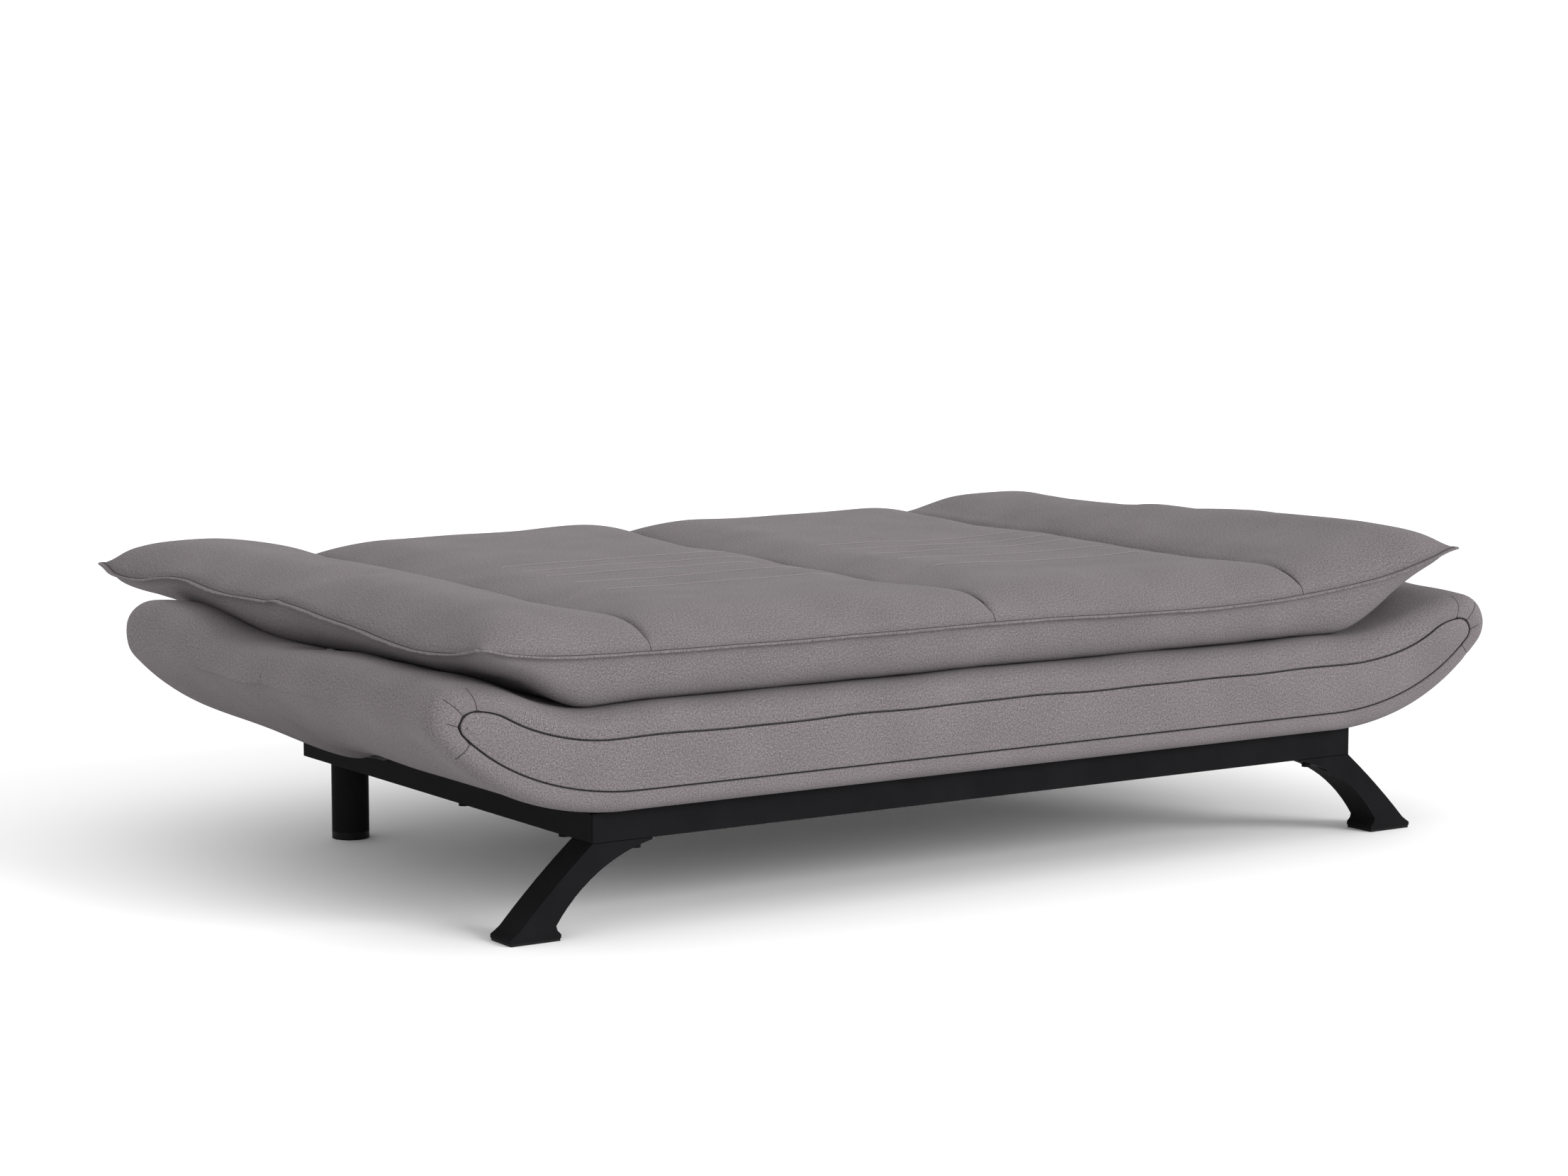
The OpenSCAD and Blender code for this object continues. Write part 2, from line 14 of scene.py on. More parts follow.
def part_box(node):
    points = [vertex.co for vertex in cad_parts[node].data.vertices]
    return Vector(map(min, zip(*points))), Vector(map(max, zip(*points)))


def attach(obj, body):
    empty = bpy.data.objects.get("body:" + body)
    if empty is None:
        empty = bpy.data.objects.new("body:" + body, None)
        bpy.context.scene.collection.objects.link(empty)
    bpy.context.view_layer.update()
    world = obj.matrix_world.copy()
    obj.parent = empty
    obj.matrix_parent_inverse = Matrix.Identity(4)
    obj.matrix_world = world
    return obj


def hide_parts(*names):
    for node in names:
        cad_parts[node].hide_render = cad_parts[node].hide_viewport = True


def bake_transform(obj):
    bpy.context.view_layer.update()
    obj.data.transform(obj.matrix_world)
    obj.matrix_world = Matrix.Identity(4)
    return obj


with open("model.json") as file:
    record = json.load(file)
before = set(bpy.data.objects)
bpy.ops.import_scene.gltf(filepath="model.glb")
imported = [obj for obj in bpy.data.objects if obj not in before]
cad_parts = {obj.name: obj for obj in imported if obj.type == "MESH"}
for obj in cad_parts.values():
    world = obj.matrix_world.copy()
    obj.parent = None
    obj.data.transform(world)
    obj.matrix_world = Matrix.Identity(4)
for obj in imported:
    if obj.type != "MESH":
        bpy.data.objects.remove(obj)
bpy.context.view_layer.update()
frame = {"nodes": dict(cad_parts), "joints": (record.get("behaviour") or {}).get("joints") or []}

# ---- places, from the frame

HINGE = next(j for j in frame["joints"] if j["name"] == "back_hinge")
FOLD_Y, FOLD_Z = HINGE["pos_m"][1:]
_, FRONT_Y, BASE_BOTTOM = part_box("seat_cover")[0]
REAR_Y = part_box("back_cover")[1].y
PAD_HALF_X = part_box("pad_seat_cover")[1].x
PAD_HALF_Y = -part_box("pad_seat_cover")[0].y
FRAME_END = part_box("right_side_rail")[1].x
BASE_HALF = 0.984
BASE_TOP = FOLD_Z

# The base's outline: flat underside, belly arc, round tip, easing arc, hollow arc
BELLY = np.array([BASE_HALF - 0.3325, BASE_BOTTOM + 0.45])
HOLLOW = np.array([BELLY[0] + 0.029, BASE_TOP + 0.300])
TIP_R = 0.046
TIP_ANGLE = 45.0
PANEL_BOTTOM = BASE_BOTTOM + 0.032
PANEL_TOP = BASE_TOP - 0.047
PANEL_TIP_R = 0.021
PANEL_ANGLE = 41.8


# ---- small helpers

def smooth(t):
    t = np.clip(t, 0.0, 1.0)
    return t * t * (3.0 - 2.0 * t)


def outwards(place, start, width):
    """0 in the middle of the bed, 1 beyond start and width towards both ends or both sides."""
    return smooth((np.abs(place) - start) / width)


def rise(distance, width, power=2.0):
    """Height share of a pillow at a distance in from its edge: 0 at the edge, 1 past the width."""
    t = 1.0 - np.clip(distance / width, 0.0, 1.0)
    return (1.0 - t ** power) ** (1.0 / power)


def bump(x, centre, width):
    """Smooth hill of height 1."""
    return np.exp(-((x - centre) / width) ** 2)


def waves(x, y, scale, seed):
    """Soft repeatable unevenness between about -1 and 1."""
    rng = np.random.default_rng(seed)
    total = np.zeros_like(x * y, dtype=float)
    for _ in range(7):
        angle = rng.uniform(0, math.tau)
        length = scale * rng.uniform(0.6, 1.7)
        phase = rng.uniform(0, math.tau)
        total += np.sin((x * math.cos(angle) + y * math.sin(angle)) * math.tau / length + phase)
    return total / 4.0


def arc(centre, radius, start, stop, steps):
    a = np.radians(np.linspace(start, stop, steps + 1))
    return np.stack([centre[0] + radius * np.cos(a), centre[1] + radius * np.sin(a)], 1)


def new_object(name, data):
    obj = bpy.data.objects.new(name, data)
    bpy.context.scene.collection.objects.link(obj)
    return obj


def new_mesh(name, points, faces, corner_uvs=None):
    mesh = bpy.data.meshes.new(name)
    mesh.from_pydata(np.asarray(points, float).tolist(), [], faces)
    if corner_uvs is not None:
        layer = mesh.uv_layers.new(name="weave")
        layer.data.foreach_set("uv", np.asarray(corner_uvs, np.float32).ravel())
    mesh.polygons.foreach_set("use_smooth", [True] * len(mesh.polygons))
    mesh.update()
    return new_object(name, mesh)


class Sheet:
    """Collects quads from grids of points, with UVs in metres along the cloth."""

    def __init__(self):
        self.points, self.faces, self.uvs = [], [], []

    def add_points(self, points):
        first = len(self.points)
        self.points.extend(np.asarray(points, float).reshape(-1, 3).tolist())
        return np.arange(first, len(self.points))

    def grid(self, index, u, v, closed=False, flip=False):
        """Quads over a 2-D array of point indices, with u and v of the same shape."""
        rows, cols = index.shape
        for i in range(rows - 1):
            for j in range(cols if closed else cols - 1):
                corners = [(i, j), (i, j + 1), (i + 1, j + 1), (i + 1, j)]
                if flip:
                    corners.reverse()
                quad = [int(index[a, b % cols]) for a, b in corners]
                kept = [n for n in range(4) if quad[n] != quad[n - 1]]
                if len(kept) > 2:
                    self.faces.append([quad[n] for n in kept])
                    self.uvs.extend((u[corners[n]], v[corners[n]]) for n in kept)

    def build(self, name):
        """Object of the sheet, with all its faces turned outwards."""
        obj = new_mesh(name, self.points, self.faces, self.uvs)
        work = bmesh.new()
        work.from_mesh(obj.data)
        bmesh.ops.recalc_face_normals(work, faces=work.faces)
        work.to_mesh(obj.data)
        work.free()
        return obj


def vectors(obj, field):
    out = np.empty(len(obj.data.vertices) * 3)
    obj.data.vertices.foreach_get(field, out)
    return out.reshape(-1, 3)


def coords(obj):
    return vectors(obj, "co")


def normals(obj):
    return vectors(obj, "normal")


def set_coords(obj, points):
    obj.data.vertices.foreach_set("co", np.asarray(points, np.float32).ravel())
    obj.data.update()


def store(obj, name, values):
    layer = obj.data.attributes.new(name, "FLOAT", "POINT")
    layer.data.foreach_set("value", np.asarray(values, np.float32))


def stored(obj, name):
    out = np.empty(len(obj.data.vertices), np.float32)
    obj.data.attributes[name].data.foreach_get("value", out)
    return out.astype(float)


def subdivide(obj):
    """One level of subdivision, made final."""
    mod = obj.modifiers.new("Subdivision", "SUBSURF")
    mod.levels = mod.render_levels = 1
    dg = bpy.context.evaluated_depsgraph_get()
    mesh = bpy.data.meshes.new_from_object(obj.evaluated_get(dg), depsgraph=dg)
    obj.modifiers.clear()
    old = obj.data
    obj.data = mesh
    mesh.name = obj.name
    bpy.data.meshes.remove(old)
    return obj


CLOTH_MASS = 0.35
CLOTH_TENSION = 12.0
CLOTH_FRAMES = 20
SMOOTH_ROUNDS = 8


def spread(obj, step, pinned):
    """Averages movements over neighbouring points, so that folds of the simulation fade."""
    edges = np.array([tuple(e.vertices) for e in obj.data.edges])
    count = np.zeros((len(step), 1))
    np.add.at(count, edges.ravel(), 1.0)
    for _ in range(SMOOTH_ROUNDS):
        total = np.zeros_like(step)
        np.add.at(total, edges[:, 0], step[edges[:, 1]])
        np.add.at(total, edges[:, 1], step[edges[:, 0]])
        step = np.where(pinned[:, None], step, 0.5 * step + 0.5 * total / np.maximum(count, 1.0))
    return step


def run_cloth(obj, pinned, pressure, shrink, bending):
    """Where a cloth simulation under inner pressure takes the points of an object."""
    scene = bpy.context.scene
    group = obj.vertex_groups.new(name="pin")
    group.add([int(i) for i in np.flatnonzero(pinned)], 1.0, "REPLACE")
    mod = obj.modifiers.new("Cloth", "CLOTH")
    cloth = mod.settings
    cloth.quality = 5
    cloth.mass = CLOTH_MASS
    cloth.tension_stiffness = cloth.compression_stiffness = CLOTH_TENSION
    cloth.shear_stiffness = CLOTH_TENSION * 0.5
    cloth.bending_stiffness = bending
    cloth.use_pressure = True
    cloth.uniform_pressure_force = pressure
    cloth.shrink_min = shrink
    cloth.vertex_group_mass = "pin"
    cloth.effector_weights.gravity = 0.0
    mod.collision_settings.use_collision = False
    mod.point_cache.frame_start, mod.point_cache.frame_end = 1, CLOTH_FRAMES
    scene.frame_start, scene.frame_end = 1, CLOTH_FRAMES
    for f in range(1, CLOTH_FRAMES + 1):
        scene.frame_set(f)
    dg = bpy.context.evaluated_depsgraph_get()
    moved = coords(obj.evaluated_get(dg))
    obj.modifiers.clear()
    obj.vertex_groups.clear()
    scene.frame_set(1)
    return moved


def inflate(obj, pinned, pressure, cap, shrink, bending, inward, crisp):
    """Fills a cover out by up to cap, and in by up to inward. crisp is the unsmoothed share."""
    rest = coords(obj)
    facing = normals(obj)
    step = run_cloth(obj, pinned, pressure, shrink, bending) - rest
    size = norm(step, axis=1, keepdims=True)
    step *= np.minimum(1.0, cap / np.maximum(size, 1e-9))
    depth = np.sum(step * facing, axis=1, keepdims=True) + inward
    step -= facing * np.minimum(depth, 0.0)
    soft = spread(obj, step, pinned)
    set_coords(obj, rest + step * crisp + soft * (1 - crisp))


# ---- materials

class Nodes:
    """Short-hand for building a node material."""

    def __init__(self, name):
        self.material = bpy.data.materials.new(name)
        self.material.use_nodes = True
        self.tree = self.material.node_tree
        self.tree.nodes.clear()
        self.shader = self.node("ShaderNodeBsdfPrincipled")
        self.node("ShaderNodeOutputMaterial", {"Surface": self.shader.outputs[0]})

    def value(self, socket, value):
        if hasattr(value, "links"):
            self.tree.links.new(value, socket)
        else:
            socket.default_value = value

    def node(self, kind, sockets=None, **settings):
        """New node. sockets maps names of its inputs to outputs of other nodes or to values."""
        made = self.tree.nodes.new(kind)
        for key, value in settings.items():
            setattr(made, key, value)
        for key, value in (sockets or {}).items():
            self.value(made.inputs[key], value)
        return made

    def math(self, operation, *values):
        made = self.node("ShaderNodeMath", operation=operation)
        for socket, value in zip(made.inputs, values):
            self.value(socket, value)
        return made.outputs[0]

    def weave_coordinates(self):
        return self.node("ShaderNodeUVMap", uv_map="weave").outputs["UV"]

    def object_coordinates(self):
        return self.node("ShaderNodeTexCoord").outputs["Object"]

    def scaled(self, vector, scale):
        return self.node("ShaderNodeMapping", {"Vector": vector, "Scale": scale}).outputs["Vector"]

    def noise(self, vector, scale, detail=2.0, roughness=0.5):
        made = self.node("ShaderNodeTexNoise", {"Vector": vector, "Scale": scale})
        self.value(made.inputs["Detail"], detail)
        self.value(made.inputs["Roughness"], roughness)
        return made.outputs["Fac"]

    def ramp(self, fac, stops):
        made = self.node("ShaderNodeValToRGB", {"Fac": fac})
        elements = made.color_ramp.elements
        while len(elements) < len(stops):
            elements.new(0.5)
        for element, (place, colour) in zip(elements, stops):
            element.position = place
            element.color = (*colour, 1.0)
        return made.outputs["Color"]

    def bump(self, height, distance, strength):
        sockets = {"Height": height, "Distance": distance, "Strength": strength}
        return self.node("ShaderNodeBump", sockets).outputs["Normal"]

    def finish(self, colour, roughness, metallic=0.0, specular=0.5, sheen=None, normal=None):
        sockets = self.shader.inputs
        self.value(sockets["Roughness"], roughness)
        sockets["Metallic"].default_value = metallic
        sockets["Specular IOR Level"].default_value = specular
        if sheen is not None:
            sockets["Sheen Weight"].default_value = sheen
            sockets["Sheen Roughness"].default_value = 0.6
        self.value(sockets["Base Color"], colour)
        if normal is not None:
            self.value(sockets["Normal"], normal)
        return self.material


def shade(colour, factor):
    return tuple(c * factor for c in colour)


FABRIC = (0.1365, 0.1213, 0.1274)
TWILL_PITCH = 0.0031


def twill_fabric():
    """Melange twill: slanting ribs of mottled yarn, from UVs in metres."""
    n = Nodes("upholstery_twill")
    uv = n.weave_coordinates()
    split = n.node("ShaderNodeSeparateXYZ", {"Vector": uv})
    wobble = n.math("MULTIPLY", n.noise(uv, 260.0, 1.0), 0.0011)
    along = n.math("ADD", n.math("ADD", split.outputs["X"], split.outputs["Y"]), wobble)
    rib = n.math("SINE", n.math("MULTIPLY", along, math.tau / TWILL_PITCH))
    rib = n.math("MULTIPLY_ADD", rib, 0.5, 0.5)
    warp = n.noise(n.scaled(uv, (1100.0, 320.0, 1.0)), 1.0, 2.0, 0.6)
    weft = n.noise(n.scaled(uv, (320.0, 1100.0, 1.0)), 1.0, 2.0, 0.6)
    yarn = n.math("ADD", n.math("MULTIPLY", warp, 0.5), n.math("MULTIPLY", weft, 0.5))
    mottle = n.noise(uv, 390.0, 3.0, 0.60)
    cloud = n.noise(uv, 9.0, 2.0, 0.5)
    tone = n.math("MULTIPLY_ADD", yarn, 0.46, n.math("MULTIPLY", mottle, 0.46))
    tone = n.math("MULTIPLY_ADD", rib, 0.06, tone)
    tone = n.math("MULTIPLY_ADD", cloud, 0.06, tone)
    colour = n.ramp(tone, [
        (0.38, shade(FABRIC, 0.36)),
        (0.48, shade(FABRIC, 0.83)),
        (0.56, shade(FABRIC, 1.18)),
        (0.66, shade(FABRIC, 1.85)),
    ])
    height = n.math("MULTIPLY_ADD", rib, 0.6, n.math("MULTIPLY", yarn, 0.8))
    normal = n.bump(height, 0.0007, 0.55)
    return n.finish(roughness=0.95, specular=0.06, sheen=0.05, colour=colour, normal=normal)


def grained(name, scale, height, strength):
    """Begins a material with a fine grain: its nodes, coordinates, grain and normal."""
    n = Nodes(name)
    at = n.object_coordinates()
    grain = n.noise(at, scale, 2.0, 0.6)
    return n, at, grain, n.bump(grain, height, strength)


def black_powder_coat():
    n, at, _, normal = grained("black_powder_coat", 900.0, 0.0002, 0.35)
    cloud = n.noise(at, 14.0, 3.0, 0.5)
    colour = n.ramp(cloud, [(0.3, (0.0076, 0.0076, 0.0083)), (0.7, (0.0099, 0.0099, 0.0108))])
    roughness = n.math("MULTIPLY_ADD", cloud, 0.14, 0.42)
    return n.finish(roughness=roughness, specular=0.008, colour=colour, normal=normal)


def black_plastic():
    n, at, _, normal = grained("black_plastic", 1500.0, 0.0002, 0.4)
    cloud = n.noise(at, 40.0, 2.0, 0.5)
    colour = n.ramp(cloud, [(0.3, (0.0055, 0.0055, 0.0058)), (0.7, (0.0085, 0.0085, 0.0090))])
    return n.finish(roughness=0.55, specular=0.10, colour=colour, normal=normal)


def zinc_steel():
    n = Nodes("zinc_steel")
    at = n.object_coordinates()
    spangle = n.node("ShaderNodeTexVoronoi", {"Vector": at, "Scale": 160.0})
    cloud = n.noise(at, 60.0, 3.0, 0.6)
    mixed = n.math("MULTIPLY_ADD", spangle.outputs["Distance"], 0.5, n.math("MULTIPLY", cloud, 0.5))
    colour = n.ramp(mixed, [(0.2, (0.42, 0.43, 0.45)), (0.7, (0.66, 0.67, 0.69))])
    roughness = n.math("MULTIPLY_ADD", cloud, 0.25, 0.25)
    return n.finish(roughness=roughness, metallic=1.0, colour=colour, normal=n.bump(cloud, 0.0002, 0.3))


def plywood():
    """Rotary-cut birch: long grain with darker plies through the thickness."""
    n = Nodes("plywood")
    at = n.object_coordinates()
    grain = n.noise(n.scaled(at, (6.0, 45.0, 60.0)), 6.0, 5.0, 0.6)
    bands = {"Vector": at, "Scale": 60.0, "Distortion": 0.6}
    ply = n.node("ShaderNodeTexWave", bands, wave_type="BANDS", bands_direction="Y")
    mixed = n.math("MULTIPLY_ADD", ply.outputs["Fac"], 0.3, n.math("MULTIPLY", grain, 0.8))
    colour = n.ramp(mixed, [
        (0.25, (0.34, 0.20, 0.095)),
        (0.55, (0.55, 0.37, 0.20)),
        (0.85, (0.68, 0.50, 0.30)),
    ])
    return n.finish(roughness=0.62, specular=0.3, colour=colour, normal=n.bump(grain, 0.0004, 0.4))


def nonwoven():
    """Spunbonded dust cover with its pattern of pressed dots."""
    n = Nodes("nonwoven_black")
    uv = n.weave_coordinates()
    dots = n.node("ShaderNodeTexVoronoi", {"Vector": uv, "Scale": 420.0, "Randomness": 0.15})
    fibre = n.noise(n.scaled(uv, (300.0, 700.0, 1.0)), 1.0, 4.0, 0.7)
    mixed = n.math("MULTIPLY_ADD", dots.outputs["Distance"], 0.5, n.math("MULTIPLY", fibre, 0.6))
    colour = n.ramp(mixed, [(0.2, (0.022, 0.022, 0.023)), (0.8, (0.060, 0.060, 0.062))])
    return n.finish(roughness=0.8, specular=0.25, colour=colour, normal=n.bump(mixed, 0.0006, 0.5))


def thread_material(name, dark, light):
    n, _, fibre, normal = grained(name, 1800.0, 0.0003, 0.5)
    colour = n.ramp(fibre, [(0.3, dark), (0.7, light)])
    return n.finish(roughness=0.8, specular=0.03, colour=colour, normal=normal)


# ---- the base's outline

BELLY_STEPS, TIP_STEPS, EASE_STEPS, HOLLOW_STEPS, FLAT_STEPS = 26, 14, 8, 16, 88


def outline(bottom, top, tip_r, angle):
    """Closed loop of X-Z points: under, round the right tip, over, round the left tip."""
    belly_r = BELLY[1] - bottom
    hollow_r = HOLLOW[1] - top
    reach = belly_r - tip_r
    tip = BELLY + reach * np.array([math.sin(math.radians(angle)), -math.cos(math.radians(angle))])
    dx = tip[0] - HOLLOW[0]
    h = HOLLOW[1] - tip[1] - tip_r
    ease_r = (dx * dx + h * h - hollow_r * hollow_r) / (2 * (hollow_r - h))
    ease_c = np.array([tip[0], tip[1] + tip_r - ease_r])
    turn = math.degrees(math.atan2(dx, HOLLOW[1] - ease_c[1]))
    right = np.concatenate([
        arc(BELLY, belly_r, -90, angle - 90, BELLY_STEPS),
        arc(tip, tip_r, angle - 90, 90, TIP_STEPS)[1:],
        arc(ease_c, ease_r, 90, 90 + turn, EASE_STEPS)[1:],
        arc(HOLLOW, hollow_r, turn - 90, -90, HOLLOW_STEPS)[1:],
    ])
    t = np.linspace(-1, 1, FLAT_STEPS + 1)
    under = np.stack([t * right[0, 0], np.full(len(t), bottom)], 1)
    over = np.stack([-t * right[-1, 0], np.full(len(t), top)], 1)
    left = right[::-1] * np.array([-1.0, 1.0])
    return np.concatenate([under[:-1], right[:-1], over[:-1], left[:-1]])


OUTER = outline(BASE_BOTTOM, BASE_TOP, TIP_R, TIP_ANGLE)
LOOP = len(OUTER)
RIGHT_STEPS = BELLY_STEPS + TIP_STEPS + EASE_STEPS + HOLLOW_STEPS
# Place in the loop of the outermost point of each tip
RIGHT_NOSE = FLAT_STEPS + BELLY_STEPS + TIP_STEPS // 3
LEFT_NOSE = 2 * FLAT_STEPS + RIGHT_STEPS + (RIGHT_STEPS - BELLY_STEPS - TIP_STEPS // 3)


def shifted(grow):
    """The outer outline moved out (or in, below zero)."""
    return outline(BASE_BOTTOM - grow, BASE_TOP + grow, TIP_R + grow, TIP_ANGLE)


def panel_outline(grow):
    return outline(PANEL_BOTTOM - grow, PANEL_TOP + grow, PANEL_TIP_R + grow, PANEL_ANGLE)


def base_top_at(x):
    """Height of the base's top over the ground at a distance from the middle."""
    upper = OUTER[RIGHT_NOSE:FLAT_STEPS + RIGHT_STEPS + 1][::-1]
    return np.interp(np.abs(x), upper[:, 0], upper[:, 1])


def ring_at(loop, y):
    """An outline's points in 3-D, at one Y."""
    return np.stack([loop[:, 0], np.full(LOOP, y), loop[:, 1]], 1)


def loop_lengths(loop):
    step = norm(np.roll(loop, -1, axis=0) - loop, axis=1)
    return np.concatenate([[0.0], np.cumsum(step)])


# ---- base halves

# Radii of the sewn threads and of the near-black cord in the groove, which is painted shade of the
# groove
SEAM_THREAD = 0.0006
CHANNEL_THREAD = 0.0011
DART_THREAD = 0.0005
GROOVE_SHADE_CORD = 0.0005
GROOVE_SHADE_CORD_DEPTH = 0.0017


class Half:
    """One upholstered half. side is -1 for the seat and 1 for the back."""

    def __init__(self, prefix, body, side, outer_y, radius, panel_node):
        self.prefix = prefix
        self.body = body
        self.side = side
        self.outer_y = outer_y
        self.radius = radius
        self.panel_node = panel_node

    def y(self, inward):
        """Y at a distance inwards from the outer face."""
        return self.outer_y - self.side * inward


SEAT = Half("seat", "frame", -1, FRONT_Y, 0.028, "seat_front_panel")
BACK = Half("back", "back", 1, REAR_Y, 0.040, "back_rear_panel")

# Border of a half: rounding, flat, and the turn down into the groove. The ends are places
# in t; the shares are parts of the way from the outline to the panel.
ROUND_END, FLAT_END = 0.60, 0.88
ROUND_SHARE, FLAT_SHARE = 0.62, 0.94
FLAT_SINK, GROOVE_DEPTH = 0.0006, 0.0060
GROOVE_GAP = 0.0004
# The halves meet at the fold with a tight gap and hardly any rounding
FOLD_GAP = 0.0001
FOLD_ROUND = 0.0005


def border_ring(half, t):
    """Ring of the rounded border: t 0 is where the rounding starts and 1 is in the groove."""
    if t <= ROUND_END:
        a = math.radians(90) * t / ROUND_END
        f = ROUND_SHARE * (1 - math.cos(a))
        inward = half.radius * (1 - math.sin(a))
    elif t <= FLAT_END:
        s = (t - ROUND_END) / (FLAT_END - ROUND_END)
        f = ROUND_SHARE + (FLAT_SHARE - ROUND_SHARE) * s
        inward = FLAT_SINK * s
    else:
        s = (t - FLAT_END) / (1 - FLAT_END)
        f = FLAT_SHARE + (1 - FLAT_SHARE) * s
        inward = FLAT_SINK + GROOVE_DEPTH * s ** 1.6
    loop = OUTER * (1 - f) + panel_outline(GROOVE_GAP) * f
    return loop, half.y(inward)


def base_middle_at(x):
    """Height halfway between the base's underside and its top."""
    under = OUTER[FLAT_STEPS:RIGHT_NOSE + 1]
    return 0.5 * (np.interp(np.abs(x), under[:, 0], under[:, 1]) + base_top_at(x))


def behind_fold(y):
    """1 in the hollow behind the fold, where the tips sag under the pad."""
    return bump(y, FOLD_Y + 0.22, 0.14)


def tip_droop(x, y, upper):
    """How far the tips hang down at the front face, more on their upper side."""
    reach = outwards(x, 0.68, 0.25)
    inward = y - FRONT_Y
    above = 0.0100 * (1 - smooth(inward / 0.24))
    below = 0.0070 * (1 - smooth(inward / 0.10))
    return reach * (above * upper + below * (1 - upper))


def pressed_top(x, y):
    """How far the pad presses the base's top down: along the front edge and on the left end."""
    front = np.exp(-(y - FRONT_Y) / 0.12) * (1 - outwards(x, 0.80, 0.10))
    end = smooth((-x - 0.70) / 0.15) * bump(y, -0.20, 0.36)
    fold = outwards(x, 0.70, 0.20) * bump(y, FOLD_Y + 0.13, 0.16)
    return front * (0.0045 + 0.0070 * bump(x, -0.75, 0.08)) + 0.0120 * end + 0.0110 * fold


def shape_base(half, p):
    """Soft unevenness of the base: droop and fullness of the tips, the pad's weight, gathers."""
    x, y, z = p[:, 0].copy(), p[:, 1].copy(), p[:, 2].copy()
    depth = (y - FRONT_Y) / (REAR_Y - FRONT_Y)
    reach = outwards(x, 0.70, 0.25)
    upper = smooth((z - base_middle_at(x)) / 0.030 + 0.5)
    # the rear tips are a little fuller
    z += smooth((depth - 0.72) / 0.20) * reach * (0.012 * upper - 0.003)
    high = smooth((z - base_top_at(x) + 0.038) / 0.034)
    z -= tip_droop(x, y, upper) + pressed_top(x, y) * high
    # the top of the tips sags behind the fold, under the pad
    top_side = smooth((z - 0.30) / 0.06)
    z -= 0.009 * behind_fold(y) * reach * top_side
    # fullness between the edges
    x += np.sign(x) * 0.0025 * np.maximum(waves(y, z, 0.16, 4), -0.2) * reach
    z += 0.0022 * waves(x, y, 0.22, 5) * smooth((z - 0.25) / 0.05)
    # the cover of the back hangs a little over the side rail behind the fold
    beside = smooth((np.abs(x) - FRAME_END + 0.004) / 0.010) * (1 - outwards(x, 0.735, 0.12))
    behind = smooth((0.40 - y) / 0.28) * smooth((y - 0.010) / 0.085) * (half.side > 0)
    z -= np.where(x < 0, 0.0185, 0.004) * beside * behind
    # small gathers where the front edge starts to climb
    gather = bump(np.abs(x), 0.66, 0.05) * smooth((z - 0.30) / 0.03)
    edge = np.exp(-np.abs(y - half.outer_y) / 0.06)
    z += 0.0013 * np.sin(x * math.tau / 0.014) * gather * edge
    return np.stack([x, y, z], 1)


# Rows of the covers: close together for some way from the fold, then further apart
SEAT_FINE, BACK_FINE = 0.042, 0.135
FINE_STEP, COARSE_STEP = 0.0055, 0.014
HELD_AT_FOLD = 7


def cover_rows(half):
    """Rings of the cover, as outline and Y, from the fold to the groove."""
    side = half.side
    fold_edge = FOLD_Y + side * FOLD_GAP
    rows = []
    for a in np.radians(np.linspace(0, 90, 5)):
        y = fold_edge + side * FOLD_ROUND * (1 - math.cos(a))
        rows.append((shifted(-FOLD_ROUND * (1 - math.sin(a))), y))
    start = fold_edge + side * FOLD_ROUND
    stop = half.y(half.radius)
    fine_end = SEAT_FINE if side < 0 else BACK_FINE
    fine = [start + side * step for step in np.arange(0.004, fine_end, FINE_STEP)]
    count = int(abs(stop - fine[-1]) / COARSE_STEP)
    rows += [(OUTER, y) for y in fine + list(np.linspace(fine[-1], stop, count + 1)[1:-1])]
    for t in np.concatenate([np.linspace(0, ROUND_END, 8), (0.70, 0.80, FLAT_END, 0.91, 0.95, 1.0)]):
        rows.append(border_ring(half, t))
    return rows


def base_cover(half):
    """Closed cover of one half: top, ends, underside, border and the face at the fold."""
    rings = [ring_at(loop, y) for loop, y in cover_rows(half)]
    steps = [np.median(norm(b - a, axis=1)) for a, b in zip(rings[:-1], rings[1:])]
    sheet = Sheet()
    ids = [sheet.add_points(ring) for ring in rings]
    us, vs = np.meshgrid(loop_lengths(OUTER), np.concatenate([[0.0], np.cumsum(steps)]))
    sheet.grid(np.array(ids), us, vs, closed=True, flip=half.side < 0)
    close_ring(sheet, ids[0], half.side * 0.002, flip=half.side < 0)
    close_ring(sheet, ids[-1], -half.side * 0.002, flip=half.side > 0)
    obj = sheet.build(half.prefix + "_upholstery")
    pinned = np.zeros(len(obj.data.vertices), bool)
    pinned[np.concatenate(ids[:HELD_AT_FOLD])] = True
    pinned[np.concatenate(ids[-2:])] = True
    pinned[ids[-1][-1] + 1:] = True
    set_coords(obj, shape_base(half, coords(obj)))
    p = coords(obj)
    pinned |= (p[:, 2] < BASE_BOTTOM + 0.004) & (np.abs(p[:, 0]) < BELLY[0])
    inflate(obj, pinned, pressure=1.5, cap=0.004, shrink=-0.003, bending=2.0, inward=0.0004, crisp=0.1)
    lift_underside(obj, half)
    subdivide(obj)
    fold_wrinkles(obj)
    return obj


WRINKLE_DEPTH, WRINKLE_PITCH, WRINKLE_REACH = 0.0007, 0.0165, 0.024


